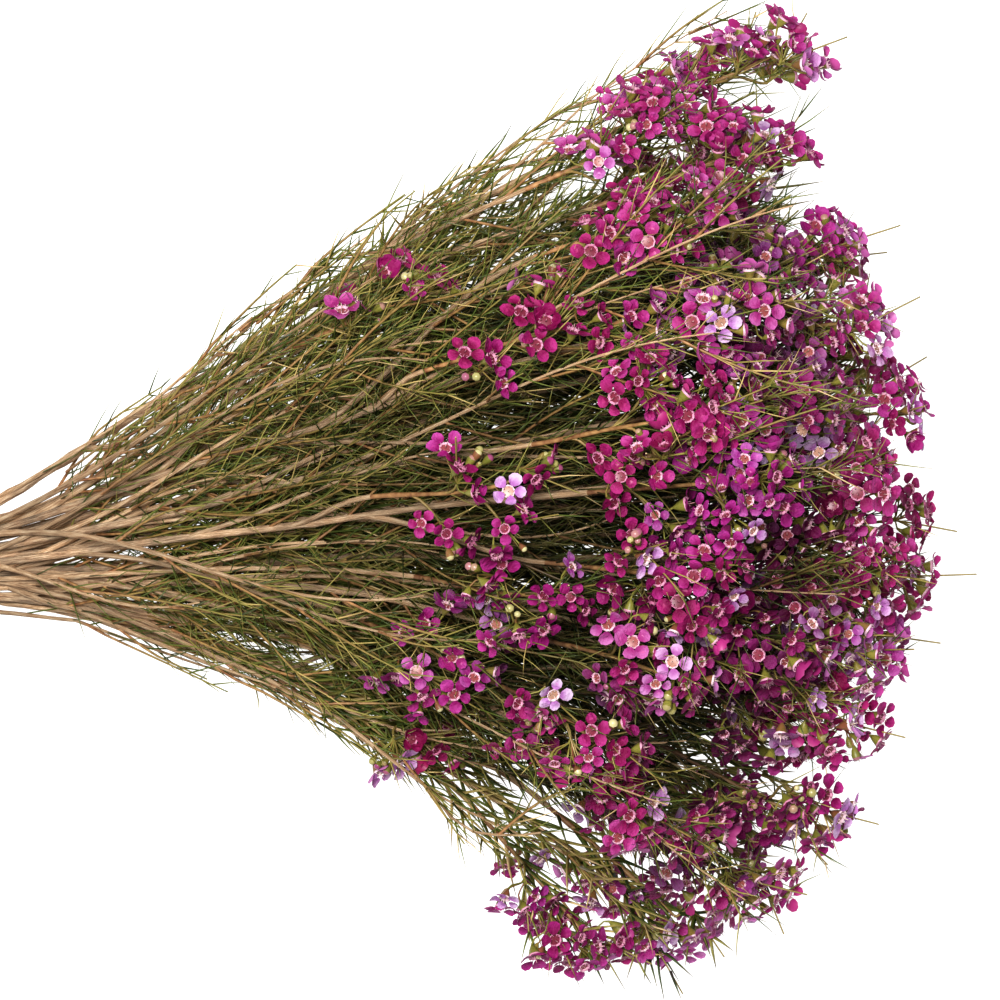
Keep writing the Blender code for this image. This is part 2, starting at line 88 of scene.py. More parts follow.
lamp_data = bpy.data.lights.new("soft_lamp", "AREA")
lamp_data.shape = "SQUARE"
lamp_data.size = LAMP_SIZE
lamp_data.energy = LAMP_POWER
lamp = bpy.data.objects.new("soft_lamp", lamp_data)
lamp.location = (*(frame_centre[:2] + LAMP_FROM_CENTRE[:2]), LAMP_FROM_CENTRE[2])
aim = Vector((*frame_centre[:2], LAMP_AIM_HEIGHT)) - lamp.location
lamp.rotation_euler = aim.to_track_quat("-Z", "Y").to_euler()
bpy.context.scene.collection.objects.link(lamp)

room = bpy.data.worlds.new("white_room")
room.use_nodes = True
backdrop = room.node_tree.nodes["Background"]
backdrop.inputs["Color"].default_value = (1, 1, 1, 1)
backdrop.inputs["Strength"].default_value = ROOM_LIGHT
bpy.context.scene.world = room


# The surface that the bunch lies on: white paper over a table that is lit from below, as for a
# catalogue picture, so it stays white and keeps almost no shadow.
PAPER_HALF_WIDTH = 3
PAPER_GLOW = 0.92


def linear(code):
    """An sRGB hex colour as the linear colour that a shader takes."""
    parts = [int(code[i : i + 2], 16) / 255 for i in (1, 3, 5)]
    return (*[p / 12.92 if p <= 0.04045 else ((p + 0.055) / 1.055) ** 2.4 for p in parts], 1)


def add_node(tree, kind, feeds, stops=(), **settings):
    """Adds a node: its settings, the values or nodes that feed it, and a ramp's colour stops."""
    made = tree.nodes.new("ShaderNode" + kind)
    for name, value in settings.items():
        setattr(made, name, value)
    for socket, feed in feeds.items():
        if isinstance(feed, bpy.types.Node):
            feed = next(way_out for way_out in feed.outputs if way_out.enabled)
        if isinstance(feed, bpy.types.NodeSocket):
            tree.links.new(feed, made.inputs[socket])
        else:
            made.inputs[socket].default_value = feed
    for k, (place, code) in enumerate(stops):
        element = made.color_ramp.elements[k] if k < 2 else made.color_ramp.elements.new(place)
        element.position = place
        element.color = linear(code)
    return made


def new_finish(name, roughness, *keys):
    """A material, its node tree, its shader, and the attributes that it reads by these keys."""
    made = bpy.data.materials.new(name)
    made.use_nodes = True
    shader = made.node_tree.nodes["Principled BSDF"]
    shader.inputs["Roughness"].default_value = roughness
    tree = made.node_tree
    return made, tree, shader, *(add_node(tree, "Attribute", {}, attribute_name=k) for k in keys)


white_paper, tree, shader = new_finish("lit_white_paper", 0.9)
shader.inputs["Base Color"].default_value = linear("#a0a09f")
shader.inputs["Emission Color"].default_value = linear("#ffffff")
shader.inputs["Emission Strength"].default_value = PAPER_GLOW
bm = bmesh.new()
bmesh.ops.create_grid(bm, x_segments=1, y_segments=1, size=PAPER_HALF_WIDTH)
floor_mesh = bpy.data.meshes.new("floor")
bm.to_mesh(floor_mesh)
bm.free()
floor_mesh.materials.append(white_paper)
floor = bpy.data.objects.new("floor", floor_mesh)
bpy.context.scene.collection.objects.link(floor)


# The main stems, from their cut ends through the neck and out along the bunch, with the side
# branches that carry sprays. They are shrubby wood 2 to 4 mm thick, under a tan fibrous bark
# with a knot wherever a twig once stood, and pale where they are cut. They run by the same rules
# as the frame's stems, but are round and finely bent.

# The neck: stems in rows, packed like the cells of a honeycomb, inside the band
NECK_X = -60 * MM
NECK_Y = -30 * MM
STEM_PITCH = 3.9 * MM
ROW_PITCH = STEM_PITCH * math.sqrt(3) / 2
NECK_STEM_RADIUS = 1.6 * MM
BAND_CLEARANCE = 0.5 * MM
BAND_THICKNESS = 1.5 * MM

# The wood's radii
CUT_RADIUS = 1.8 * MM
STEM_TIP_RADIUS = 1.15 * MM
BRANCH_RADIUS = 1.0 * MM
SPRAY_TIP_RADIUS = 0.8 * MM

# How the stems run, and the points that they are planned with
POINTS_BELOW_NECK = 13
POINTS_ABOVE_NECK = 49
BRANCH_POINTS = 17
SPRAY_POINTS = 13
PROBE_SPACING = 2.5 * MM
STEM_BELOW_NECK = 148 * MM
CUT_END_SCATTER = 9 * MM
STRAIGHT_IN_NECK = 5 * MM
SPLAY_ACROSS = 1.7
SPLAY_UP = 1.4
SWEEP = 0.36
STEM_WAVE = 2.2 * MM
WAVES = (1.5, 3.2)
SPRAY_BEND = 0.22
FAN_POINT = np.array((0, -15, 10)) * MM
FAN_BACK = -115 * MM
FAN_AHEAD = 90 * MM
FACE_CENTRE = np.array((370, -5, 95)) * MM
FULLY_OUTWARD = 60 * MM
BRANCH_ANGLE = math.radians(20)
LINE_GAP = 3.2 * MM

# The flowering sprays
SPRAY_LENGTH = 82 * MM
SPRAY_SHARE = 0.3
STALK_ANGLE = math.radians(38)
STALK_LENGTH = 27 * MM
TERMINAL_STALK = 14 * MM

# The heads, each a group of flowers, and the rounds in which they make room for each other
FLORET_RADIUS = 11.6 * MM
HEAD_SPACING = 23.6 * MM
HEAD_TO_WOOD = 13.2 * MM
OFF_SURFACE = 1.5 * MM
ROUNDS = 80

# The sprays, by stem: each tip in millimetres along, across and up, and its number of heads.
# The stems are listed in their layers from the lowest, and in each layer from -Y to +Y. A stem's
# first spray is at its end, and the others stand on side branches.
LAYERS = (
    (
        ((282, -180, 50, 5), (310, -160, 88, 5)),
        ((290, -124, 34, 5),),
        ((328, 14, 36, 4),),
        ((284, 92, 32, 5),),
    ),
    (
        ((242, -186, 64, 5), (180, -106, 84, 3)),
        ((334, -78, 44, 4),),
        ((370, -36, 92, 5),),
        ((358, 52, 72, 4),),
        ((340, 104, 66, 5), (304, 146, 74, 4)),
    ),
    (
        ((334, -132, 116, 5), (338, -92, 150, 5)),
        ((350, -62, 140, 5), (188, -68, 140, 4)),
        ((348, -26, 166, 5), (368, -8, 120, 4)),
        ((344, 14, 164, 5), (362, 36, 128, 4)),
        ((346, 72, 150, 5), (336, 104, 136, 4)),
        ((320, 182, 120, 5), (312, 144, 148, 4), (282, 154, 150, 4)),
    ),
    (
        ((278, -132, 160, 5), (244, -98, 172, 4)),
        ((322, -58, 180, 4), (272, -70, 190, 3), (228, -38, 174, 4)),
        ((304, 8, 203, 4), (284, -28, 198, 4), (214, 8, 178, 4)),
        ((322, 42, 187, 4), (282, 32, 203, 4)),
        ((304, 78, 191, 4), (286, 120, 178, 4), (240, 70, 182, 4), (178, 84, 134, 3)),
    ),
)


def unit(vector):
    return vector / np.linalg.norm(vector)


def length_of(line):
    return np.linalg.norm(np.diff(line, axis=0), axis=1).sum()


def resampled(line, count):
    """As many points as asked, evenly along a line."""
    along = np.concatenate(((0,), np.cumsum(np.linalg.norm(np.diff(line, axis=0), axis=1))))
    at = np.linspace(0, along[-1], count)
    return np.stack([np.interp(at, along, line[:, axis]) for axis in range(3)], axis=1)


def spaced(line):
    """Points along a line, near enough to each other to measure gaps from."""
    return resampled(line, max(2, round(length_of(line) / PROBE_SPACING) + 1))


def bezier(a, b, c, d, count):
    t = np.linspace(0, 1, count)[:, None]
    return (1 - t) ** 3 * a + 3 * (1 - t) ** 2 * t * b + 3 * (1 - t) * t**2 * c + t**3 * d


def neck_places():
    """Each stem's place in the neck, across and up from the middle of the bundle, by layer."""
    middle = (len(LAYERS) - 1) / 2
    return [
        [
            np.array(((place - (len(layer) - 1) / 2) * STEM_PITCH, (row - middle) * ROW_PITCH))
            for place in range(len(layer))
        ]
        for row, layer in enumerate(LAYERS)
    ]


def neck_height():
    """The middle of the bundle above the surface, with the band's underside on it."""
    return (len(LAYERS) - 1) / 2 * ROW_PITCH + NECK_STEM_RADIUS + BAND_CLEARANCE + BAND_THICKNESS


def outward(point):
    """Away from the bunch's middle line, one unit long but less close to that line."""
    start = np.array((NECK_X, NECK_Y, neck_height()))
    along = unit(FACE_CENTRE - start)
    away = (point - start) - ((point - start) @ along) * along
    return away / max(np.linalg.norm(away), FULLY_OUTWARD)


def stem_line(place, base, heading, draw):
    """A stem's centre line, from its cut end through its place in the neck to its spray."""
    neck = np.array((NECK_X, NECK_Y + place[0], neck_height() + place[1]))
    straight = np.array((STRAIGHT_IN_NECK, 0, 0))
    rise = place[1] * (SPLAY_UP if place[1] > 0 else 1)
    cut = np.array(
        (
            NECK_X - STEM_BELOW_NECK + draw.uniform(-CUT_END_SCATTER, CUT_END_SCATTER),
            NECK_Y + place[0] * SPLAY_ACROSS,
            neck_height() + rise,
        )
    )
    enter, leave = neck - straight, neck + straight
    below = bezier(cut, cut + (enter - cut) * 0.4, enter - 8 * straight, enter, POINTS_BELOW_NECK)
    swept = heading * SWEEP * np.linalg.norm(base - leave)
    above = bezier(leave, leave + 7 * straight, base - swept, base, POINTS_ABOVE_NECK)
    share = np.linspace(0, 1, len(above))[:, None]
    swing = [unit(draw.normal(size=3)) for _ in range(2)]
    turns, phases = draw.uniform(*WAVES, 2), draw.uniform(0, 2 * math.pi, 2)
    wave = sum(s * np.sin(2 * math.pi * n * share + p) for s, n, p in zip(swing, turns, phases))
    above += STEM_WAVE * np.sin(math.pi * share**2) ** 2 * wave
    return np.vstack((below, above))


def gap_between(line, others):
    """The smallest distance from a line's points to the points of any of the others."""
    if not others:
        return math.inf
    points = np.vstack(others)
    return min(np.linalg.norm(points - point, axis=1).min() for point in line)


def branch_line(stem, base, heading, others):
    """A side branch from the stem to a spray, and the fork that is clear and best for its angle."""
    choices = []
    for fork in range(POINTS_BELOW_NECK + 3, len(stem) - 4):
        chord = base - stem[fork]
        length = np.linalg.norm(chord)
        ahead = unit(stem[fork + 1] - stem[fork - 1])
        angle = math.acos(np.clip(chord @ ahead / length, -1, 1))
        choices.append((abs(angle - BRANCH_ANGLE), fork, ahead, length))
    best = None
    for _, fork, ahead, length in sorted(choices, key=lambda choice: choice[:2]):
        leave = stem[fork] + unit(ahead + unit(base - stem[fork])) * length * 0.35
        line = bezier(stem[fork], leave, base - heading * length * 0.35, base, BRANCH_POINTS)
        clear = gap_between(spaced(line[2:]), others)
        if best is None or clear > best[0]:
            best = (clear, line, fork)
        if clear > LINE_GAP:
            break
    return best[1:]


def plan_spray(tip, draw):
    """Where a spray's twig starts, which way it heads, and its centre line, bent a little.

    Sprays at +Y flatten out along the bunch, and those at -Y droop away from it.
    """
    shift = np.array((np.clip(-tip[1], FAN_BACK, FAN_AHEAD), 0, 0))
    heading = unit(tip - FAN_POINT - shift)
    length = min(SPRAY_LENGTH, SPRAY_SHARE * np.linalg.norm(tip - FAN_POINT))
    base = tip - heading * length
    end = tip - heading * TERMINAL_STALK
    bend = SPRAY_BEND * draw.uniform(-1, 1, 3)
    third = np.linalg.norm(end - base) / 3
    axis = bezier(base, base + heading * third, end - (heading + bend) * third, end, SPRAY_POINTS)
    return {"base": base, "heading": heading, "axis": axis, "tip": tip}


def plan_heads(spray, count, draw):
    """Where each head of a spray is, and which way it faces, before they make room."""
    heading, axis = spray["heading"], spray["axis"]
    away = outward(spray["tip"])
    out = away - (away @ heading) * heading
    out = unit(out + np.array((0, 0, 0.02)))
    beside = np.cross(heading, out)
    places, facings = [spray["tip"]], [unit(heading + 0.6 * away + 0.2 * draw.normal(size=3))]
    for k in range(1, count):
        start = axis[round((0.12 + 0.7 * (k - 0.5) / (count - 1)) * (len(axis) - 1))]
        turn = (1 if k % 2 else -1) * math.radians(draw.uniform(25, 95))
        side = math.cos(turn) * out + math.sin(turn) * beside
        stalk = math.cos(STALK_ANGLE) * heading + math.sin(STALK_ANGLE) * side
        places.append(start + stalk * STALK_LENGTH * draw.uniform(0.85, 1.15))
        facings.append(unit(0.5 * heading + 0.8 * away + 0.35 * side + 0.3 * draw.normal(size=3)))
    return np.array(places), np.array(facings)


def make_room(places, facings, wood):
    """Moves the heads apart, off the wood and off the surface, a little at a time."""
    lowest = FLORET_RADIUS * np.sqrt(1 - facings[:, 2] ** 2) + OFF_SURFACE
    for _ in range(ROUNDS):
        apart = places[:, None] - places[None]
        distance = np.linalg.norm(apart, axis=2) + np.eye(len(places))
        push = np.clip(HEAD_SPACING - distance, 0, None) * (1 - np.eye(len(places)))
        places = places + 0.35 * (apart / distance[..., None] * push[..., None]).sum(axis=1)
        for i in range(len(places)):
            off = places[i] - wood
            distances = np.linalg.norm(off, axis=1)
            near = distances.argmin()
            if distances[near] < HEAD_TO_WOOD:
                places[i] += off[near] / distances[near] * (HEAD_TO_WOOD - distances[near]) * 0.5
        places[:, 2] = np.maximum(places[:, 2], lowest)
    return places


def plan_bunch():
    """The centre lines of every stem, branch and spray, and the heads' places."""
    draw = np.random.default_rng(20)
    places = neck_places()
    stems, sprays, lines = [], [], []
    for row, layer in enumerate(LAYERS):
        for order, tips in enumerate(layer):
            plans = [plan_spray(np.array(tip[:3]) * MM, draw) for tip in tips]
            for plan, tip in zip(plans, tips):
                plan.update(stem=len(stems), count=tip[3])
            first = plans[0]
            line = stem_line(places[row][order], first["base"], first["heading"], draw)
            stems.append({"line": line, "branches": [], "plans": plans})
            lines.append(spaced(line))
            sprays += plans
    for plan in sprays:
        lines.append(spaced(plan["axis"]))
    for i, stem in enumerate(stems):
        own = [i] + [len(stems) + j for j, plan in enumerate(sprays) if plan["stem"] == i]
        for plan in stem["plans"][1:]:
            others = [line for j, line in enumerate(lines) if j not in own]
            line, fork = branch_line(stem["line"], plan["base"], plan["heading"], others)
            stem["branches"].append({"line": line, "fork": fork})
            own.append(len(lines))
            lines.append(spaced(line))
    heads = [plan_heads(plan, plan["count"], draw) for plan in sprays]
    owners = np.concatenate([[i] * len(head[0]) for i, head in enumerate(heads)])
    places = np.vstack([head[0] for head in heads])
    facings = np.vstack([head[1] for head in heads])
    places = make_room(places, facings, np.vstack(lines))
    for i, plan in enumerate(sprays):
        plan["heads"] = places[owners == i]
        plan["facings"] = facings[owners == i]
    return stems, sprays


stems, sprays = plan_bunch()
frame_shift = np.array((tie_at[0] - NECK_X, tie_at[1] - NECK_Y, 0))

# How far the bunch reaches to each side and up, at places along it, and ahead, at places across
EDGE_X = np.array((-200, -60, 0, 24, 60, 104, 136, 172, 216, 260, 312, 400)) * MM
EDGE_UPPER = np.array((-10, -10, 2, 13, 34, 70, 92, 116, 146, 170, 199, 214)) * MM
EDGE_LOWER = np.array((-45, -45, -41, -41, -53, -68, -84, -112, -180, -202, -205, -205)) * MM
EDGE_TOP = np.array((30, 30, 50, 64, 84, 110, 132, 152, 176, 196, 212, 215)) * MM
EDGE_FRONT_Y = np.array((-210, -196, -184, -164, -148, -96, -48, 0, 52, 104, 152, 184, 200)) * MM
EDGE_FRONT = np.array((262, 276, 296, 308, 334, 344, 364, 368, 360, 342, 334, 322, 312)) * MM

# Where the painted shade inside the bunch gives way to full light: towards its sides, from the first
# to the second of these shares of the way out from its middle, near its face, and in the narrow part
# above the band
LIT_SHARES = (0.64, 0.98)
FACE_LIT = 1.1
FACE_DEPTH = 115 * MM
NARROW_TO_X = 70 * MM
NARROW_FADE = 420 * MM


def room_ahead(points):
    """How far points are behind the face of the bunch."""
    return np.interp(points[..., 1], EDGE_FRONT_Y, EDGE_FRONT) - points[..., 0]


def painted_light_share(points):
    """How lit points are, for painted shade: from 0 deep in the bunch to 1 at its surface."""
    x, y, z = points[..., 0], points[..., 1], points[..., 2]
    upper, lower = np.interp(x, EDGE_X, EDGE_UPPER), np.interp(x, EDGE_X, EDGE_LOWER)
    half_height = np.interp(x, EDGE_X, EDGE_TOP) / 2
    across = (y - (upper + lower) / 2) / ((upper - lower) / 2)
    out = np.hypot(across, z / half_height - 1)
    out = np.maximum(out, FACE_LIT - room_ahead(points) / FACE_DEPTH)
    out = np.maximum(out, 1 - (x - NARROW_TO_X) / NARROW_FADE)
    return np.interp(out, LIT_SHARES, (0, 1))


class Shape:
    """A form that bmesh has made once, to be bent or set down many times in one piece."""

    def __init__(self, bm):
        bm.verts.index_update()
        self.points = np.array([vertex.co for vertex in bm.verts])
        self.corners = np.array([loop.vert.index for face in bm.faces for loop in face.loops])
        self.sizes = np.array([len(face.verts) for face in bm.faces])
        self.finish = np.array([face.material_index for face in bm.faces])
        bm.free()


class Piece:
    """The copies that one object is made of. A finish reads four things at each of their points:
    where it is on the straight shape, the copy's shade, how young it is and how lit it is, for the
    painted shade inside the bunch.
    """

    def __init__(self):
        self.points, self.corners, self.sizes, self.finish = [], [], [], []
        self.straight, self.shade, self.young = [], [], []
        self.count = 0

    def add(self, shape, points, shade, young=0, finish=0, scale=1):
        """points holds every copy's own points, in the design's coordinates."""
        copies, many = points.shape[:2]
        starts = self.count + many * np.arange(copies)
        self.points.append(points.reshape(-1, 3))
        self.corners.append((starts[:, None] + shape.corners).ravel())
        self.sizes.append(np.tile(shape.sizes, copies))
        self.finish.append(np.tile(shape.finish + finish, copies))
        self.straight.append((shape.points * np.ones((copies, 1, 1)) * scale).reshape(-1, 3))
        self.shade.append((np.zeros((copies, many)) + np.reshape(shade, (-1, 1))).ravel())
        self.young.append((np.zeros((copies, many)) + young).ravel())
        self.count += many * copies

    def lay(self, shape, lines, radii, *rest, **settings):
        """A bar bent along each of the lines, with a radius for each of their points."""
        self.add(shape, bent(shape, lines, radii), *rest, **settings)

    def make(self, name, finishes, node):
        """The object, which rides with the bunch and stands for the node."""
        mesh = bpy.data.meshes.new(name)
        points = np.vstack(self.points) + frame_shift
        corners, sizes = np.concatenate(self.corners), np.concatenate(self.sizes)
        finish = np.concatenate(self.finish)
        mesh.vertices.add(len(points))
        mesh.vertices.foreach_set("co", points.ravel())
        mesh.loops.add(len(corners))
        mesh.loops.foreach_set("vertex_index", corners)
        mesh.polygons.add(len(sizes))
        mesh.polygons.foreach_set("loop_start", np.concatenate(((0,), np.cumsum(sizes)[:-1])))
        mesh.polygons.foreach_set("material_index", finish)
        mesh.update(calc_edges=True)
        edges = np.empty(len(corners), dtype=int)
        mesh.loops.foreach_get("edge_index", edges)
        lowest = np.full(len(mesh.edges), len(finishes))
        highest = np.zeros(len(mesh.edges), dtype=int)
        np.minimum.at(lowest, edges, np.repeat(finish, sizes))
        np.maximum.at(highest, edges, np.repeat(finish, sizes))
        sharp = mesh.attributes.new("sharp_edge", "BOOLEAN", "EDGE")
        sharp.data.foreach_set("value", lowest != highest)
        straight = mesh.attributes.new("straight", "FLOAT_VECTOR", "POINT")
        straight.data.foreach_set("vector", np.vstack(self.straight).ravel())
        shade, young = np.concatenate(self.shade), np.concatenate(self.young)
        # How lit each point is, which the finishes turn into painted shade
        lit_share = painted_light_share(np.vstack(self.points))
        for key, values in (("shade", shade), ("young", young), ("painted_light", lit_share)):
            mesh.attributes.new(key, "FLOAT", "POINT").data.foreach_set("value", values)
        for material in finishes:
            mesh.materials.append(material)
        mesh.validate()
        made = bpy.data.objects.new(name, mesh)
        bpy.context.scene.collection.objects.link(made)
        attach(made, "root")
        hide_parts(node)
        return made


def bar(sides, parts, tip=1):
    """A straight round bar up Z, one unit long and one in radius, cut across into equal parts."""
    bm = bmesh.new()
    raised = Matrix.Translation((0, 0, 0.5))
    bmesh.ops.create_cone(
        bm, cap_ends=True, segments=sides, radius1=1, radius2=tip, depth=1, matrix=raised
    )
    bm.normal_update()
    for face in bm.faces:
        face.material_index = int(abs(face.normal.z) > 0.9 and tip > 0)
    upright = [edge for edge in bm.edges if abs(edge.verts[0].co.z - edge.verts[1].co.z) > 0.5]
    bmesh.ops.subdivide_edges(bm, edges=upright, cuts=parts - 1)
    return Shape(bm)


ASLANT = (0.31, 0.2, 0.93)


def bent(shape, lines, radii):
    """A bar's points for each of the lines, with as many rings as a line has points."""
    rings = np.rint(shape.points[:, 2] * (lines.shape[1] - 1)).astype(int)
    ahead = np.gradient(lines, axis=1)
    ahead /= np.linalg.norm(ahead, axis=2, keepdims=True)
    side = np.cross(ahead[:, 0], ASLANT)
    sides = []
    for k in range(lines.shape[1]):
        side = side - (side * ahead[:, k]).sum(axis=1, keepdims=True) * ahead[:, k]
        side = side / np.linalg.norm(side, axis=1, keepdims=True)
        sides.append(side)
    across = np.stack(sides, axis=1)
    beside = np.cross(ahead, across)
    x, y = shape.points[:, 0, None], shape.points[:, 1, None]
    return lines[:, rings] + radii[:, rings, None] * (x * across[:, rings] + y * beside[:, rings])


# How the stems are drawn. The bare one is paler and lies on top, with nothing over it.
STEM_RINGS = 121
BRANCH_RINGS = 29
KNOT_SPACING = 18 * MM
KNOT_SWELL = (0.05, 0.17)
UNEVEN = 0.05
STEM_FULLNESS = 1.06
BARE_STEM = 18


def painted_shade(tree, colour, darkest):
    """A colour with painted shade: darker towards the inside of the bunch, down to the darkest share.
    """
    lit = add_node(tree, "Attribute", {}, attribute_name="painted_light")
    left = add_node(tree, "MapRange", {0: lit, 3: darkest, 4: 1.0})
    return add_node(tree, "VectorMath", {0: colour, 3: left}, operation="SCALE").outputs[0]


# Dry bark is tan and stringy, and weathers to grey in patches. It is matte, so it takes the light
# evenly. Each copy reads its own part of a pattern, as far apart as this times its shade.
APART = 90.0
dry_bark, tree, shader, place, shade, young = new_finish(
    "dry_fibrous_bark", 0.8, "straight", "shade", "young"
)
turned = add_node(tree, "Math", {0: shade, 1: APART}, operation="MULTIPLY")
# Real fibres are under half a millimetre wide, and are drawn at 1 mm so that they show
fibre = add_node(tree, "Mapping", {"Vector": place, "Scale": (1.0, 1.0, 0.05)})
streaks = add_node(
    tree,
    "TexNoise",
    {"Vector": fibre, "W": turned, "Scale": 2.4, "Detail": 5.0, "Roughness": 0.8},
    noise_dimensions="4D",
)
patches = add_node(
    tree,
    "TexNoise",
    {"Vector": place, "W": turned, "Scale": 0.06, "Detail": 2.0},
    noise_dimensions="4D",
)
tan = add_node(
    tree, "ValToRGB", {0: streaks}, stops=((0.37, "#5a412b"), (0.64, "#f0d8b4"), (0.5, "#b89270"))
)
weathered = add_node(
    tree, "ValToRGB", {0: streaks}, stops=((0.37, "#46382a"), (0.64, "#c6b093"), (0.5, "#8f7860"))
)
grey = add_node(tree, "MapRange", {0: patches, 1: 0.4, 2: 0.58, 3: 0.0, 4: 0.8})
old = add_node(tree, "Mix", {0: grey, 6: tan, 7: weathered}, data_type="RGBA")
shoot = add_node(
    tree, "ValToRGB", {0: streaks}, stops=((0.36, "#835739"), (0.66, "#f4dcb8"), (0.5, "#cfa87d"))
)
both = add_node(tree, "Mix", {0: young, 6: old, 7: shoot}, data_type="RGBA")
light = add_node(tree, "MapRange", {0: shade, 3: 0.68, 4: 1.12})
toned = add_node(tree, "HueSaturation", {"Color": both, "Value": light})
relief = add_node(tree, "Bump", {"Height": streaks, "Strength": 1.0, "Distance": 0.6 * MM})
# Painted shade darkens the bark inside the bunch, down to 0.6 of its colour
tree.links.new(painted_shade(tree, toned, 0.6), shader.inputs["Base Color"])
tree.links.new(relief.outputs[0], shader.inputs["Normal"])

# Where a stem is cut across, its wood is pale and dry, with growth rings round a darker pith
cut_wood, tree, shader, place = new_finish("sawn_pale_wood", 0.85, "straight")
rings = add_node(
    tree,
    "TexWave",
    {"Vector": place, "Scale": 1.6, "Distortion": 1.2, "Detail": 2.0},
    wave_type="RINGS",
    rings_direction="Z",
)
wood = add_node(
    tree, "ValToRGB", {0: rings.outputs["Fac"]}, stops=((0.0, "#b99a6c"), (1.0, "#e0cba0"))
)
tree.links.new(wood.outputs[0], shader.inputs["Base Color"])

draw = np.random.default_rng(31)
stem_bar = bar(8, STEM_RINGS - 1)
branch_bar = bar(7, BRANCH_RINGS - 1)


def knotted(radii, length, every, draw):
    """Radii along some wood, swollen at its knots and a little uneven between them."""
    radii = radii * (1 + UNEVEN * draw.normal(size=len(radii)).clip(-2, 2))
    for _ in range(round(length / every)):
        knot = draw.integers(1, len(radii) - 1)
        swell = draw.uniform(*KNOT_SWELL)
        radii[knot] *= 1 + swell
        radii[knot - 1] *= 1 + swell / 2
        radii[knot + 1 : knot + 2] *= 1 + swell / 2
    return radii


for number, stem in enumerate(stems, 1):
    piece = Piece()
    line = resampled(stem["line"], STEM_RINGS)
    share = np.linspace(0, 1, STEM_RINGS)
    neck = STEM_BELOW_NECK / length_of(stem["line"])
    thick = np.interp(share, (0, neck, 1), (CUT_RADIUS, NECK_STEM_RADIUS, STEM_TIP_RADIUS))
    thick = knotted(thick * STEM_FULLNESS, length_of(line), KNOT_SPACING, draw)
    shade = 1.0 if number == BARE_STEM else draw.uniform()
    young = 0.5 * np.clip(stem_bar.points[:, 2] * 2 - 1.1, 0, 1)
    scale = (1.7, 1.7, length_of(line) / MM)
    piece.lay(stem_bar, line[None], thick[None], shade, young=young, scale=scale)
    for branch in stem["branches"]:
        line = resampled(branch["line"], BRANCH_RINGS)
        thick = np.linspace(STEM_TIP_RADIUS, BRANCH_RADIUS, BRANCH_RINGS)
        thick = knotted(thick, length_of(line), KNOT_SPACING, draw)
        young = 0.35 + 0.3 * branch_bar.points[:, 2]
        scale = (1.1, 1.1, length_of(line) / MM)
        piece.lay(branch_bar, line[None], thick[None], draw.uniform(), young=young, scale=scale)
    piece.make(f"stem_{number:02d}_wood", [dry_bark, cut_wood], f"stem_{number:02d}")


# The leafy wood: from every stem and branch fork off thinner tan boughs, which run on beside it
# towards the flowers, and from all of them leafy shoots. The leaves are stiff green needles 16 to
# 34 mm long and 1 mm wide, a little hooked, in opposite pairs, each pair crossing the last one.

# The needles, stouter low down inside the bunch, where they close the gaps that others leave
LEAF_RADIUS = 0.53 * MM
LEAF_PAIR = 8.3 * MM
LEAF_LENGTH = (16 * MM, 34 * MM)
LEAF_ANGLE = math.radians(31)
LEAF_ANGLE_SPREAD = (0.5, 1.6)
LEAF_HOOK = (-0.15, 0.34)
LEAVES_BEGIN = ((20 * MM, 130 * MM), (0.42, 1))
HIGHEST_LEAF = cad_box[1][2] + 11 * MM
LOW_LEAVES = (40 * MM, 105 * MM)
LOW_LEAVES_FROM_X = 120 * MM
LOW_LEAF_FULLNESS = 1.6
LEAF_PAST_FACE = 9 * MM
LEAVES_OVER_BARE = 0.12

# The boughs: how many a stem has, by its layer or by its own number, and how they run. Two boughs
# of each top stem cross their neighbours, and nothing grows over the bare stem.
BOUGHS_BY_LAYER = (11, 9, 7, 6)
BOUGHS_OF = {1: 3, 4: 15, 5: 3, 9: 14, 18: 4}
LOOSE_STEMS = (1, 5, 18)
TOP_STEMS = range(10, 21)
CROSSING_BOUGHS = 2
CROSSING_SPREAD = (0.2, 0.42)
BARE_WIDTH = 3.6 * MM
BOUGHS_FROM_X = (-45 * MM, 190 * MM)
BOUGH_LENGTH = (120 * MM, 250 * MM)
BOUGH_SPREAD = (0.06, 0.24)
BOUGH_RADIUS = (1.45 * MM, 0.9 * MM)
BOUGH_TIP = 0.3
BOUGH_POINTS = 25
BARE_BOUGH = 0.22

# The shoots, fewer along loose stems and boughs, and sparse in the drooping part
SHOOT_SPACING = 21 * MM
LOOSE_SPACING = 1.8
BOUGH_SPACING = 1.2
SHOOT_LENGTH = (42 * MM, 95 * MM)
SHOOT_ANGLE = (math.radians(12), math.radians(42))
SHOOT_RADIUS = 0.6 * MM
SHOOT_POINTS = 8
SHOOTS_FROM_X = 10 * MM
SPARSE_X = (140 * MM, 300 * MM)
SPARSE_BELOW_Y = -80 * MM
SPARSE_SHARE = 0.68

# How near wood and leaves come to the surface, the face and the sides of the bunch. One that
# would have to be brought back by more than a draw from these millimetres is left out.
OFF_FLOOR = 1.2 * MM
SHORT_OF_FRONT = 32 * MM
EDGE_SOFTNESS = 6 * MM
SLACK = (-4 * MM, 11 * MM)
LEAF_STRAY = (1, 20)
SHOOT_STRAY = (5, 35)

# The finishes of a leafy piece by number, after that of its shoots. A cut end takes the one
# after its bark's.
NEEDLES = 2
OLD_WOOD = 3


def kept_inside(points, slack=0):
    """Points past the bunch's edges and some slack brought back to just beyond them."""
    x, y, z = points[..., 0], points[..., 1], points[..., 2]
    upper = y - np.interp(x, EDGE_X, EDGE_UPPER) - slack
    lower = np.interp(x, EDGE_X, EDGE_LOWER) - y - slack
    top = z - np.interp(x, EDGE_X, EDGE_TOP) - slack
    past = [
        np.where(by > 0, by - EDGE_SOFTNESS * np.tanh(by / (3 * EDGE_SOFTNESS)), 0)
        for by in (upper, lower, top)
    ]
    return np.stack((x, y - past[0] + past[1], np.maximum(z - past[2], OFF_FLOOR)), axis=-1)


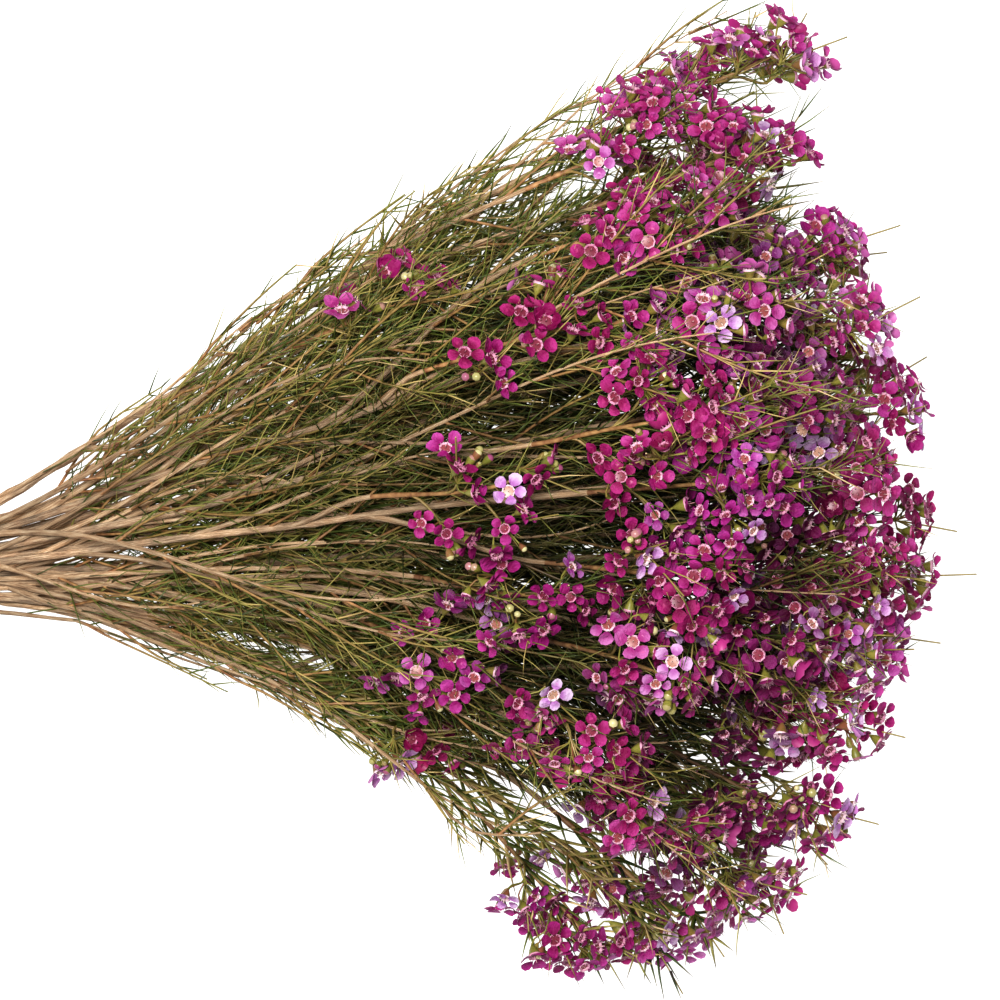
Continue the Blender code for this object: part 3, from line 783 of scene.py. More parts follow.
def cut_short(line):
    """A line up to where it comes too near the face, with its points spread along that part."""
    inside = np.flatnonzero(room_ahead(line) < SHORT_OF_FRONT)
    return resampled(line[: inside[0] + 1], len(line)) if len(inside) and inside[0] else line


# The cuticle of a leaf is waxy and slightly glossy, darker on old leaves, and yellow on new ones
# and at the tip. Deeper in the bunch its colour is darkened further as painted shade.
LEAF_IN_SHADE = 0.25
needle_leaf, tree, shader, place, shade = new_finish("waxy_needle_leaf", 0.42, "straight", "shade")
green = add_node(
    tree,
    "ValToRGB",
    {0: shade},
    stops=((0.0, "#3c4d22"), (1.0, "#e6ca9a"), (0.38, "#6b7634"), (0.68, "#a89b56"), (0.86, "#d2b67a")),
)
along = add_node(tree, "SeparateXYZ", {0: place})
tip = add_node(tree, "MapRange", {0: along.outputs["Z"], 1: 0.6, 2: 1.0, 3: 0.0, 4: 0.7})
leaf = add_node(tree, "Mix", {0: tip, 6: green, 7: linear("#a0824a")}, data_type="RGBA")
tree.links.new(painted_shade(tree, leaf, LEAF_IN_SHADE), shader.inputs["Base Color"])

# Young bark is thin and smooth, red brown where the sun reaches it and green at the shoot's tip
shoot_bark, tree, shader, place, shade, young = new_finish(
    "smooth_young_bark", 0.55, "straight", "shade", "young"
)
turned = add_node(tree, "Math", {0: shade, 1: APART}, operation="MULTIPLY")
mottle = add_node(
    tree,
    "TexNoise",
    {"Vector": place, "W": turned, "Scale": 0.35, "Detail": 3.0},
    noise_dimensions="4D",
)
brown = add_node(tree, "ValToRGB", {0: mottle}, stops=((0.35, "#7a4a30"), (0.7, "#bd8f5f")))
both = add_node(tree, "Mix", {0: young, 6: brown, 7: linear("#83803e")}, data_type="RGBA")
# The shoot bark takes the same painted shade inside the bunch as the leaves
tree.links.new(painted_shade(tree, both, LEAF_IN_SHADE), shader.inputs["Base Color"])

leaf_bar = bar(3, 2, tip=0)
shoot_bar = bar(4, SHOOT_POINTS - 1)
bough_bar = bar(6, BOUGH_POINTS - 1)


def tilted(ahead, angle, turn):
    """A direction at an angle to ahead, turned round it."""
    across = unit(np.cross(ahead, (0.0, 0.0, 1.0)))
    up = np.cross(across, ahead)
    side = math.cos(turn) * across + math.sin(turn) * up
    return math.cos(angle) * ahead + math.sin(angle) * side


def at_share(line, share):
    """The point at a share of a line's points, and the direction there."""
    k = share * (len(line) - 1)
    i = min(int(k), len(line) - 2)
    return line[i] + (line[i + 1] - line[i]) * (k - i), unit(line[i + 1] - line[i])


def covers(lines):
    """Which lines would hide the long bare stem that lies on top of the bunch."""
    bare = stems[BARE_STEM - 1]["line"]
    x = lines[..., 0]
    beside = np.abs(lines[..., 1] - np.interp(x, bare[:, 0], bare[:, 1])) < BARE_WIDTH
    above = lines[..., 2] > np.interp(x, bare[:, 0], bare[:, 2])
    return (beside & above & (x < bare[-1, 0])).any(axis=-1)


def leaf_pairs(line, first, shrink, draw, size=1.0):
    """The root, direction, shoot's direction and length of each needle along a line."""
    length = length_of(line)
    grown = []
    turn = draw.uniform(0, math.pi)
    for at in np.arange(first, length, LEAF_PAIR * draw.uniform(0.85, 1.15)):
        share = at / length
        root, ahead = at_share(line, share)
        turn += math.pi / 2 + draw.normal() * 0.25
        for side in (0, math.pi):
            way = tilted(ahead, LEAF_ANGLE * draw.uniform(*LEAF_ANGLE_SPREAD), turn + side)
            long = draw.uniform(*LEAF_LENGTH) * (1 - shrink * share**2) * size
            if root[2] + way[2] * long < OFF_FLOOR:
                way[2] = abs(way[2])
            grown.append((root, way, ahead, long))
    return grown


def add_leaves(piece, grown, draw):
    """Each needle, bent a little towards the shoot's tip or away from it."""
    if not grown:
        return
    roots, ways, aheads = (np.array([leaf[i] for leaf in grown]) for i in range(3))
    long = np.array([leaf[3] for leaf in grown])
    hook = draw.uniform(*LEAF_HOOK, len(grown))
    t = np.array((0, 0.5, 1))
    lines = roots[:, None] + long[:, None, None] * (
        t[:, None] * ways[:, None] + (t**2)[:, None] * hook[:, None, None] * aheads[:, None]
    )
    past = np.abs(lines - kept_inside(lines)).max(axis=(1, 2))
    lines[:, :, 2] = np.maximum(lines[:, :, 2], OFF_FLOOR)
    kept = past < draw.uniform(*LEAF_STRAY, len(grown)) * MM
    kept &= room_ahead(lines[:, -1]) > -LEAF_PAST_FACE
    kept &= ~covers(lines) | (draw.uniform(size=len(grown)) < LEAVES_OVER_BARE)
    kept &= draw.uniform(size=len(grown)) < np.interp(lines[:, 0, 0], *LEAVES_BEGIN)
    kept &= lines[:, :, 2].max(axis=1) < HIGHEST_LEAF
    lines, many = lines[kept], kept.sum()
    radii = LEAF_RADIUS * draw.uniform(0.8, 1.12, many)[:, None] * np.array((0.75, 1, 1))
    hidden = np.interp(lines[:, :1, 2], LOW_LEAVES, (1, 0)) * (lines[:, :1, 0] > LOW_LEAVES_FROM_X)
    radii *= 1 + LOW_LEAF_FULLNESS * hidden
    shades = np.clip(draw.beta(1.5, 2, many) + draw.normal(0, 0.08), 0, 1)
    shades *= np.interp(lines[:, 0, 0], *LEAVES_BEGIN) ** 0.5
    piece.lay(leaf_bar, lines, radii, shades, finish=NEEDLES)


def grow_shoots(line, spacing, draw, first=0.0):
    """Leafy shoots along some wood, arching forward as they leave it."""
    shoots = []
    length = length_of(line)
    for at in np.arange(first * length + spacing * draw.uniform(0.3, 1), length - 6 * MM, spacing):
        root, ahead = at_share(line, at / length)
        if root[0] < SHOOTS_FROM_X or room_ahead(root) < SHORT_OF_FRONT:
            continue
        sparse = SPARSE_X[0] < root[0] < SPARSE_X[1] and root[1] < SPARSE_BELOW_Y
        if sparse and draw.uniform() < SPARSE_SHARE:
            continue
        way = tilted(ahead, draw.uniform(*SHOOT_ANGLE), draw.uniform(0, 2 * math.pi))
        long = draw.uniform(*SHOOT_LENGTH)
        middle = root + way * long * 0.4
        further = middle + unit(way + 0.35 * ahead) * long * 0.35
        end = further + unit(0.6 * way + ahead + 0.25 * draw.normal(size=3)) * long * 0.3
        shoot = bezier(root, middle, further, end, SHOOT_POINTS)
        inner = kept_inside(shoot, draw.uniform(*SLACK))
        strayed = np.abs(inner - shoot).max()
        if strayed < draw.uniform(*SHOOT_STRAY) * MM and not covers(inner[2:]):
            shoots.append(cut_short(inner))
    return shoots


def grow_boughs(line, count, crossing, draw):
    """Thinner wood that forks off a stem and then runs on beside it, further and further off."""
    boughs = []
    length = length_of(line)
    inside = np.flatnonzero((line[:, 0] > BOUGHS_FROM_X[0]) & (line[:, 0] < BOUGHS_FROM_X[1]))
    for k in range(count):
        start = inside[int(((k + draw.uniform()) / count) ** 1.3 * len(inside))]
        long = draw.uniform(*BOUGH_LENGTH)
        beyond = min(len(line) - 1, start + round(long / length * (len(line) - 1)))
        root, ahead = line[start], unit(line[start + 1] - line[start])
        along = unit(line[beyond] - root)
        side = tilted(along, math.pi / 2, draw.uniform(0, 2 * math.pi))
        spread = draw.uniform(*BOUGH_SPREAD)
        if k < crossing:
            side = unit(np.array((0, draw.choice((-1, 1)), 0.4)))
            spread = draw.uniform(*CROSSING_SPREAD)
        end = root + along * long + side * long * spread
        leave = unit(ahead + 0.12 * side) * long * 0.4
        arrive = unit(along + 0.25 * draw.normal(size=3) * (0.6, 0.8, 0.5)) * long * 0.35
        bough = bezier(root, root + leave, end - arrive, end, BOUGH_POINTS)
        inner = kept_inside(bough, draw.uniform(*SLACK) / 2)
        inner[:2] = bough[:2]
        boughs.append(cut_short(inner))
    return boughs


draw = np.random.default_rng(32)
boughs_for = [count for count, layer in zip(BOUGHS_BY_LAYER, LAYERS) for _ in layer]
for number, stem in enumerate(stems, 1):
    line = resampled(stem["line"], 240)
    spacing = SHOOT_SPACING * (LOOSE_SPACING if number in LOOSE_STEMS else 1)
    crossing = CROSSING_BOUGHS if number in TOP_STEMS else 0
    boughs = grow_boughs(line, BOUGHS_OF.get(number, boughs_for[number - 1]), crossing, draw)
    piece = Piece()
    lines = np.array(boughs)
    thick = np.interp(lines[:, :1, 0], BOUGHS_FROM_X, BOUGH_RADIUS) * draw.uniform(0.75, 1.1)
    thick = thick * np.linspace(1, BOUGH_TIP, BOUGH_POINTS)
    thick = thick * (1 + 0.04 * draw.normal(size=thick.shape).clip(-2, 2))
    shades = draw.uniform(size=len(boughs))
    young = np.clip(0.3 + 0.7 * bough_bar.points[:, 2], 0, 1)
    piece.lay(bough_bar, lines, thick, shades, young=young, finish=OLD_WOOD, scale=(0.9, 0.9, 180))
    shoots = grow_shoots(line, spacing, draw)
    for branch in stem["branches"]:
        shoots += grow_shoots(resampled(branch["line"], 40)[5:], spacing, draw)
    grown = []
    for bough in boughs:
        shoots += grow_shoots(bough, spacing * BOUGH_SPACING, draw, BARE_BOUGH)
        grown += leaf_pairs(bough, length_of(bough) * BARE_BOUGH, 0.3, draw)
    radii = SHOOT_RADIUS * np.linspace(1.1, 0.55, SHOOT_POINTS) * np.ones((len(shoots), 1))
    shades, young = draw.uniform(size=len(shoots)), shoot_bar.points[:, 2]
    piece.lay(shoot_bar, np.array(shoots), radii, shades, young=young, scale=(0.5, 0.5, 70))
    for shoot in shoots:
        grown += leaf_pairs(shoot, 6 * MM, 0.45, draw)
    add_leaves(piece, grown, draw)
    finishes = [shoot_bark, cut_wood, needle_leaf, dry_bark, cut_wood]
    piece.make(f"stem_{number:02d}_leaves", finishes, f"stem_{number:02d}")


# The flowering sprays: at the end of each stem and branch a red brown twig, which forks into
# branchlets, each with a handful of flowers on thin stalks, a few round buds and short needles.
# The flowers are planned first, so that each stalk reaches the cup of its own flower.
FLOWER_ROOM = 10.8 * MM
FLOWER_SIZE = (0.7, 1.03)
FLOWER_RADIUS = 9.6 * MM
FLOWERS_PAST = 5 * MM
FLOWER_ROUNDS = 40
GROUP_RADIUS = 10.8 * MM
GROUP_COUNT = (5.5, 8.5)
CROWD_BEHIND = (45 * MM, 150 * MM)
CROWD_SHARE = (1, 0.33)
TOWARDS_VIEW = np.array((1, 1, 0.75)), np.array((0.32, 0, 0.12))
FORK_BEHIND = 13 * MM
CUP_DEPTH = 5.4 * MM
TWIG_RINGS = 25
TWIG_KNOTS = (80 * MM, 12 * MM)
BRANCHLET_THICK = 0.62 * MM
BRANCHLET_POINTS = 7
STALK_THICK = 0.42 * MM
STALK_SWELL = np.array((1, 0.85, 0.8, 0.9, 1.3))
BUD_STALK_THICK = 0.36 * MM
LOWEST_TWIG = 3 * MM
LOWEST_BUD = 4 * MM
SIDE_TWIG_AHEAD = (0.5, 0, 0)
SIDE_TWIG_ASIDE = (0.2, 0.9)
STALKS = 3

# How many buds a group may have, and how likely each number is
BUDS = ((1, 2, 5), (0.4, 0.3, 0.3))

# In millimetres: how far a flower sinks behind the middle one of its group, where a stalk starts
# to bend, how long a group's two side twigs are, and where its buds are from its fork
GROUP_SINK = (1, 5)
STALK_FOOT = 3.5
SIDE_TWIGS = ((9, 17), (20, 36))
BUDS_AHEAD = (5, 14)
BUDS_ASIDE = (7, 13)


def root_on(axis, head):
    """Which point of a spray's twig a branchlet leaves to reach the head at its usual angle."""
    heading = unit(axis[-1] - axis[0])
    angles = [math.acos(np.clip(unit(head - point) @ heading, -1, 1)) for point in axis[1:-1]]
    return 1 + int(np.argmin(np.abs(np.array(angles) - STALK_ANGLE)))


def sides_of(facing):
    """Two directions across a facing."""
    across = unit(np.cross(facing, ASLANT))
    return across, np.cross(facing, across)


draw = np.random.default_rng(33)
for spray in sprays:
    axis = resampled(spray["axis"], TWIG_RINGS)
    spray.update(groups=[], flowers=[], faces=[])
    for k, (head, facing) in enumerate(zip(spray["heads"], spray["facings"])):
        root = axis[-1] if k == 0 else axis[root_on(axis, head)]
        fork = head - facing * FORK_BEHIND
        reach = np.linalg.norm(fork - root) * 0.35
        leave = unit(axis[-1] - axis[0])
        line = bezier(root, root + leave * reach, fork - facing * reach, fork, BRANCHLET_POINTS)
        across, beside = sides_of(facing)
        leaning = facing * TOWARDS_VIEW[0] + TOWARDS_VIEW[1]
        flowers, faces = [head], [unit(leaning + 0.4 * draw.normal(size=3))]
        crowd = np.interp(room_ahead(head), CROWD_BEHIND, CROWD_SHARE)
        count = round(draw.uniform(*GROUP_COUNT) * crowd)
        start = draw.uniform(0, 2 * math.pi)
        for i in range(count):
            turn = start + 2 * math.pi * (i + draw.uniform(-0.2, 0.2)) / count
            side = math.cos(turn) * across + math.sin(turn) * beside
            radius = GROUP_RADIUS * draw.uniform(0.85, 1.1)
            flowers.append(head + side * radius - facing * draw.uniform(*GROUP_SINK) * MM)
            faces.append(unit(leaning + 0.65 * side + 0.35 * draw.normal(size=3)))
        spray["groups"].append((line, fork, facing, count + 1))
        spray["flowers"] += flowers
        spray["faces"] += faces

owner = np.concatenate([[i] * len(spray["flowers"]) for i, spray in enumerate(sprays)])
flowers = np.vstack([spray["flowers"] for spray in sprays])
faces = np.vstack([spray["faces"] for spray in sprays])
sizes = draw.uniform(*FLOWER_SIZE, len(flowers))
lowest = FLOWER_RADIUS * sizes * np.sqrt(1 - faces[:, 2] ** 2) + OFF_SURFACE
highest = cad_box[1][2] + FLOWERS_PAST
right, left = (cad_box[k][1] - frame_shift[1] + (2 * k - 1) * FLOWERS_PAST for k in (0, 1))
for _ in range(FLOWER_ROUNDS):
    apart = flowers[:, None] - flowers[None]
    distance = np.linalg.norm(apart, axis=2) + np.eye(len(flowers))
    push = np.clip(FLOWER_ROOM - distance, 0, None) * (1 - np.eye(len(flowers)))
    flowers = flowers + 0.3 * (apart / distance[..., None] * push[..., None]).sum(axis=1)
    flowers[:, 2] = np.clip(flowers[:, 2], lowest, highest)
    flowers[:, 1] = np.clip(flowers[:, 1], right, left)

twig_bar = bar(6, TWIG_RINGS - 1)
branchlet_bar = bar(5, BRANCHLET_POINTS - 1)
stalk_bar = bar(4, len(STALK_SWELL) - 1)


def shaded(name, roughness, *stops):
    """A finish that is even on each copy, in a colour that goes by the copy's shade."""
    made, tree, shader, shade = new_finish(name, roughness, "shade")
    ramp = add_node(tree, "ValToRGB", {0: shade}, stops=stops)
    tree.links.new(ramp.outputs[0], shader.inputs["Base Color"])
    return made


# A flower stalk is green, and red where the sun reaches it
stalk_skin = shaded("green_stalk", 0.5, (0.0, "#7c7a35"), (1.0, "#7b3f33"), (0.6, "#8f8744"))

for i, spray in enumerate(sprays):
    own = np.flatnonzero(owner == i)
    piece = Piece()
    line = resampled(spray["axis"], TWIG_RINGS)
    thick = np.linspace(BRANCH_RADIUS, SPRAY_TIP_RADIUS * 0.8, TWIG_RINGS)
    thick = knotted(thick, *TWIG_KNOTS, draw)
    young, scale = 0.3 * twig_bar.points[:, 2], (1, 1, length_of(line) / MM)
    piece.lay(twig_bar, line[None], thick[None], draw.uniform(), young=young, scale=scale)
    grown = leaf_pairs(line, 4 * MM, 0.3, draw, 0.95)
    spray["buds"] = []
    for line, fork, facing, count in spray["groups"]:
        mine, own = own[:count], own[count:]
        across, beside = sides_of(facing)
        thick = BRANCHLET_THICK * np.linspace(1.15, 0.85, BRANCHLET_POINTS)[None]
        young = 0.4 + 0.3 * branchlet_bar.points[:, 2]
        scale = (0.6, 0.6, 20)
        piece.lay(branchlet_bar, line[None], thick, draw.uniform(), young=young, scale=scale)
        grown += leaf_pairs(line, 3 * MM, 0.2, draw, 0.85)
        for long in [draw.uniform(*lengths) for lengths in SIDE_TWIGS]:
            turn = draw.uniform(0, 6.28)
            side = math.cos(turn) * across + math.sin(turn) * beside
            way = unit(facing + SIDE_TWIG_AHEAD + draw.uniform(*SIDE_TWIG_ASIDE) * side)
            tip = fork + way * long * MM
            tip[2] = max(tip[2], LOWEST_TWIG)
            line = bezier(fork, fork + facing * 3 * MM, tip - way * 4 * MM, tip, BRANCHLET_POINTS)
            shade, scale = draw.uniform(), (0.4, 0.4, 14)
            piece.lay(branchlet_bar, line[None], 0.6 * thick, shade, young=0.7, scale=scale)
            grown += leaf_pairs(line, 4 * MM, 0.3, draw, 0.75)
        middle = draw.uniform(0, 2 * math.pi)
        for _ in range(int(draw.choice(BUDS[0], p=BUDS[1]))):
            turn = middle + draw.uniform(-0.5, 0.5)
            side = math.cos(turn) * across + math.sin(turn) * beside
            place = fork + facing * draw.uniform(*BUDS_AHEAD) * MM
            place = place + side * draw.uniform(*BUDS_ASIDE) * MM
            place[2] = max(place[2], LOWEST_BUD)
            spray["buds"].append((fork, facing, place, unit(facing + 1.1 * side)))
        stalks = []
        for j in mine:
            end = flowers[j] - faces[j] * CUP_DEPTH * sizes[j]
            foot = fork + facing * STALK_FOOT * MM
            stalks.append(bezier(fork, foot, end - faces[j] * 4 * MM, end, 5))
        thick = STALK_THICK * STALK_SWELL * np.ones((count, 1))
        piece.lay(stalk_bar, np.array(stalks), thick, draw.uniform(size=count), finish=STALKS)
    stalks = []
    for fork, facing, place, face in spray["buds"]:
        end = place - face * 3 * MM
        foot = fork + facing * STALK_FOOT * MM
        stalks.append(bezier(fork, foot, place - face * 6 * MM, end, 5))
    thick = np.full((len(stalks), 5), BUD_STALK_THICK)
    piece.lay(stalk_bar, np.array(stalks), thick, draw.uniform(size=len(stalks)), finish=STALKS)
    add_leaves(piece, grown, draw)
    finishes = [shoot_bark, cut_wood, needle_leaf, stalk_skin, stalk_skin]
    piece.make(f"spray_{i + 1:02d}_twigs", finishes, f"spray_{i + 1:02d}")


# The flowers: 12 to 17 mm across, with five round waxy petals set apart round a pale cup. Its
# floor is a nectar disc, dark red when old, ten short stamens stand on its rim, and below it
# narrows to the stalk as a green cone. Young flowers are lilac, and some are less open.
PETAL_CENTRE = 5.5 * MM
PETAL_LONG = 2.85 * MM
PETAL_WIDE = 2.95 * MM
PETAL_RUFFLE = 0.95
PETAL_THICK = 0.24 * MM
PETAL_FOOT = 0.25 * MM
PETAL_SIZE = (0.88, 1.14)
PETAL_TURN = 0.09
PETAL_LIFT = 0.22
STAMENS = 10
STAMEN_PLACE = Matrix.Translation((2.5 * MM, 0, 1.05 * MM))
STAMEN_LEANS = (0.6, -0.4)
STAMEN = {"segments": 3, "radius1": 0.32 * MM, "radius2": 0, "depth": 2.1 * MM}
STYLE_PLACE = Matrix.Translation((0, 0, 1.5 * MM))
STYLE = {"segments": 4, "radius1": 0.3 * MM, "radius2": 0.14 * MM, "depth": 3.4 * MM}

# The finishes of a flower by number, after that of a petal's face: its back, the cup's cone, the
# rim with the stamens, the disc, the style and the ball of a bud
BACK, CONE, RIM, DISC, PISTIL, BALL = range(1, 7)


def turned_shape(profile, steps):
    """A closed body of revolution round Z, from the lowest point of its profile to the highest."""
    bm = bmesh.new()
    points = [bm.verts.new((radius * MM, 0, height * MM)) for radius, height, _ in profile]
    edges = [bm.edges.new(pair) for pair in zip(points, points[1:])]
    around = {"cent": (0, 0, 0), "axis": (0, 0, 1), "angle": 2 * math.pi}
    bmesh.ops.spin(bm, geom=points + edges, steps=steps, use_merge=True, **around)
    bmesh.ops.remove_doubles(bm, verts=bm.verts, dist=0.001 * MM)
    bmesh.ops.recalc_face_normals(bm, faces=bm.faces)
    heights = [height * MM for _, height, _ in profile]
    radii = [radius * MM for radius, _, _ in profile]

    def miss(k):
        across = abs((radii[k] + radii[k + 1]) / 2 - math.hypot(centre.x, centre.y))
        return abs((heights[k] + heights[k + 1]) / 2 - centre.z) + across

    for face in bm.faces:
        centre = face.calc_center_median()
        face.material_index = profile[min(range(len(profile) - 1), key=miss)][2]
    return bm


def petal(bm, turn, lift, cup, size, draw):
    """A petal: a round blade, hollowed a little, with a back of its own under a thin edge."""
    before = set(bm.verts)
    ruffle, phase = PETAL_RUFFLE * draw.uniform(0.3, 1), draw.uniform(0, 2 * math.pi)
    made = bmesh.ops.create_circle(bm, cap_ends=True, segments=9, radius=1)
    top = [face for face in bm.faces if set(face.verts) <= set(made["verts"])]
    bmesh.ops.inset_region(bm, faces=top, thickness=0.4, use_boundary=True)
    blade = [vertex for vertex in bm.verts if vertex not in before]
    for vertex in blade:
        x, y = vertex.co.x, vertex.co.y
        out = math.hypot(x, y)
        narrow = 1 - 0.3 * max(0, -x)
        height = cup * out**2 + ruffle * out**2 * math.sin(2 * math.atan2(y, x) + phase)
        vertex.co = (x * PETAL_LONG, y * narrow * PETAL_WIDE, height * MM)
    faces = [face for face in bm.faces if set(face.verts) <= set(blade)]
    back = bmesh.ops.duplicate(bm, geom=blade + faces)["geom"]
    back_faces = [item for item in back if isinstance(item, bmesh.types.BMFace)]
    back_points = [item for item in back if isinstance(item, bmesh.types.BMVert)]
    bmesh.ops.reverse_faces(bm, faces=back_faces)
    for face in back_faces:
        face.material_index = BACK
    for vertex in back_points:
        inside = math.hypot(vertex.co.x / PETAL_LONG, vertex.co.y / PETAL_WIDE) < 0.8
        vertex.co.z -= PETAL_THICK if inside else 0
    bmesh.ops.remove_doubles(bm, verts=blade + back_points, dist=0.01 * MM)
    blade = [vertex for vertex in bm.verts if vertex not in before]
    bmesh.ops.translate(bm, verts=blade, vec=(PETAL_LONG, 0, 0))
    bmesh.ops.scale(bm, verts=blade, vec=(size, size, 1))
    bmesh.ops.rotate(bm, verts=blade, cent=(0, 0, 0), matrix=Matrix.Rotation(-lift, 3, "Y"))
    bmesh.ops.translate(bm, verts=blade, vec=(PETAL_CENTRE - PETAL_LONG, 0, PETAL_FOOT))
    bmesh.ops.rotate(bm, verts=blade, cent=(0, 0, 0), matrix=Matrix.Rotation(turn, 3, "Z"))


# The cup's cone, rim and floor as radii and heights in millimetres, with the finish above each
CUP_PROFILE = (
    *((0, -5.6, CONE), (0.5, -5.4, CONE), (1.7, -3.2, CONE), (2.75, -0.6, CONE)),
    *((3.1, 0.4, RIM), (2.8, 0.35, RIM), (2.45, -0.6, DISC), (0, -0.2, DISC)),
)


def flower_shape(lift, cup, draw):
    """A whole flower facing up Z, with the rim of its cup at the origin."""
    bm = turned_shape(CUP_PROFILE, 8)
    for i in range(5):
        turn = 2 * math.pi * i / 5 + PETAL_TURN * draw.normal()
        raised = lift + PETAL_LIFT * draw.normal()
        petal(bm, turn, raised, cup, draw.uniform(*PETAL_SIZE), draw)
    spikes = []
    for i in range(STAMENS):
        turn = Matrix.Rotation(2 * math.pi * (i + 0.5) / STAMENS, 4, "Z")
        lean = Matrix.Rotation(STAMEN_LEANS[i % 2], 4, "Y")
        spikes.append((STAMEN, turn @ STAMEN_PLACE @ lean, RIM))
    for sizes, matrix, finish in (*spikes, (STYLE, STYLE_PLACE, PISTIL)):
        made = bmesh.ops.create_cone(bm, cap_ends=True, matrix=matrix, **sizes)
        for face in {face for vertex in made["verts"] for face in vertex.link_faces}:
            face.material_index = finish
    return Shape(bm)


def set_down(shape, places, facings, turns, sizes):
    """The shape's points, turned to each facing and moved to each place."""
    across = np.cross(facings, ASLANT)
    across /= np.linalg.norm(across, axis=1, keepdims=True)
    beside = np.cross(facings, across)
    x = np.cos(turns)[:, None] * across + np.sin(turns)[:, None] * beside
    axes = np.stack((x, np.cross(facings, x), facings), axis=1)
    return places[:, None] + sizes[:, None, None] * (shape.points @ axes)


# A petal is thick, waxy and a little crumpled: deep magenta at its foot and paler in blots
# towards its edge. Younger flowers are lilac, and some sprays are redder than others. Deeper in
# the bunch its colour is darkened as painted shade.
PETAL_IN_SHADE = 0.22
STRAIN_HUES = (0.517, 0.488)


def strained(tree, colour, young):
    """A petal colour with its spray's own hue, from redder to more violet."""
    hue = add_node(tree, "MapRange", {0: young, 3: STRAIN_HUES[0], 4: STRAIN_HUES[1]})
    return add_node(tree, "HueSaturation", {"Color": colour, "Hue": hue})


petal_skin, tree, shader, place, shade, young = new_finish(
    "waxy_petal", 0.5, "straight", "shade", "young"
)
turned = add_node(tree, "Math", {0: shade, 1: APART}, operation="MULTIPLY")
flat = add_node(tree, "Mapping", {"Vector": place, "Scale": (1.0, 1.0, 0.0)})
out = add_node(tree, "VectorMath", {0: flat}, operation="LENGTH")
deep = add_node(
    tree,
    "ValToRGB",
    {0: shade},
    stops=((0.0, "#5e0838"), (1.0, "#b076b8"), (0.3, "#7a0e4e"), (0.6, "#901a68"), (0.82, "#9c3e8c")),
)
pale = add_node(
    tree,
    "ValToRGB",
    {0: shade},
    stops=((0.0, "#8e185c"), (1.0, "#e0c8e4"), (0.3, "#a6297a"), (0.6, "#b64898"), (0.82, "#c482be")),
)
cloud = add_node(
    tree,
    "TexNoise",
    {"Vector": place, "W": turned, "Scale": 0.42, "Detail": 4.0, "Roughness": 0.6},
    noise_dimensions="4D",
)
edge = add_node(tree, "MapRange", {0: out, 1: 3.5, 2: 8.3, 3: 0.1, 4: 1.1})
patchy = add_node(tree, "Math", {0: cloud, 1: edge}, operation="MULTIPLY")
mixed = add_node(tree, "MapRange", {0: patchy, 1: 0.12, 2: 0.5, 3: 0.0, 4: 1.0})
crumple = add_node(tree, "Bump", {"Height": cloud, "Strength": 1.0, "Distance": 1.5 * MM})
tree.links.new(crumple.outputs[0], shader.inputs["Normal"])
petal_colour = add_node(tree, "Mix", {0: mixed, 6: deep, 7: pale}, data_type="RGBA")
strain = strained(tree, petal_colour, young)
tree.links.new(painted_shade(tree, strain, PETAL_IN_SHADE), shader.inputs["Base Color"])
shader.inputs["Specular IOR Level"].default_value = 0.2

# The back of a petal is paler and duller than its face
petal_back, tree, shader, shade, young = new_finish("petal_back", 0.5, "shade", "young")
back = add_node(
    tree, "ValToRGB", {0: shade}, stops=((0.0, "#8c1656"), (1.0, "#c986c4"), (0.6, "#b03385"))
)
strain = strained(tree, back, young)
# The back takes the same painted shade inside the bunch
tree.links.new(painted_shade(tree, strain, PETAL_IN_SHADE), shader.inputs["Base Color"])

# The cup is a fleshy green cone, dotted with oil glands and often flushed with red
cup_skin, tree, shader, place, shade = new_finish("gland_dotted_cup", 0.45, "straight", "shade")
glands = add_node(tree, "TexVoronoi", {"Vector": place, "Scale": 1.4})
dots = add_node(tree, "MapRange", {0: glands, 1: 0.15, 2: 0.4, 3: 0.0, 4: 1.0})
cone = add_node(
    tree, "ValToRGB", {0: shade}, stops=((0.0, "#6b6a2c"), (1.0, "#84493a"), (0.6, "#88813a"))
)
dotted = add_node(tree, "Mix", {0: dots, 6: linear("#5f6626"), 7: cone}, data_type="RGBA")
tree.links.new(dotted.outputs[2], shader.inputs["Base Color"])

# The rim of the cup and the stamens are white, tinged with pink on older flowers
cup_rim = shaded("fleshy_cup_rim", 0.45, (0.0, "#b9608a"), (1.0, "#ecd3da"), (0.45, "#d59ab2"))

# The disc inside it is wet with nectar, so it is dark and glossy
disc_colours = ((0.0, "#561a2e"), (1.0, "#b08a74"), (0.45, "#823545"), (0.8, "#99584f"))
nectar_disc = shaded("nectar_disc", 0.38, *disc_colours)

# The style in its middle is smooth, crimson when old and cream when young
style_skin = shaded("style", 0.5, (0.0, "#a8436f"), (1.0, "#e9d6c4"))

# A bud is a tight ball of petals on a cone like a small flower's, cream or pink, and glossy
bud_colours = ((0.0, "#8f3a6d"), (1.0, "#cdc494"), (0.3, "#ae7b7a"), (0.6, "#a19a60"))
bud_skin = shaded("waxy_bud", 0.3, *bud_colours)
BUD_PROFILE = (
    *((0, -4.4, CONE), (0.5, -4.2, CONE), (1.5, -2.3, CONE), (1.95, -0.4, CONE)),
    *((1.85, 0.6, BALL), (1.2, 1.6, BALL), (0, 2.0, BALL)),
)
BUD_SIZE = (0.65, 1.05)

# How far open a flower is and how cupped its petals, in six kinds, with the share of each
LIFTS_AND_CUPS = ((4, 0.5), (12, 0.9), (20, 0.6), (8, -0.3), (30, 1.0), (50, 1.1))
KIND_SHARES = (0.22, 0.24, 0.2, 0.16, 0.12, 0.06)
NEWEST_SHARE = 0.11

draw = np.random.default_rng(34)
open_flowers = [flower_shape(math.radians(lift), cup, draw) for lift, cup in LIFTS_AND_CUPS]
bud_shape = Shape(turned_shape(BUD_PROFILE, 7))
kinds = draw.choice(len(open_flowers), len(flowers), p=KIND_SHARES)
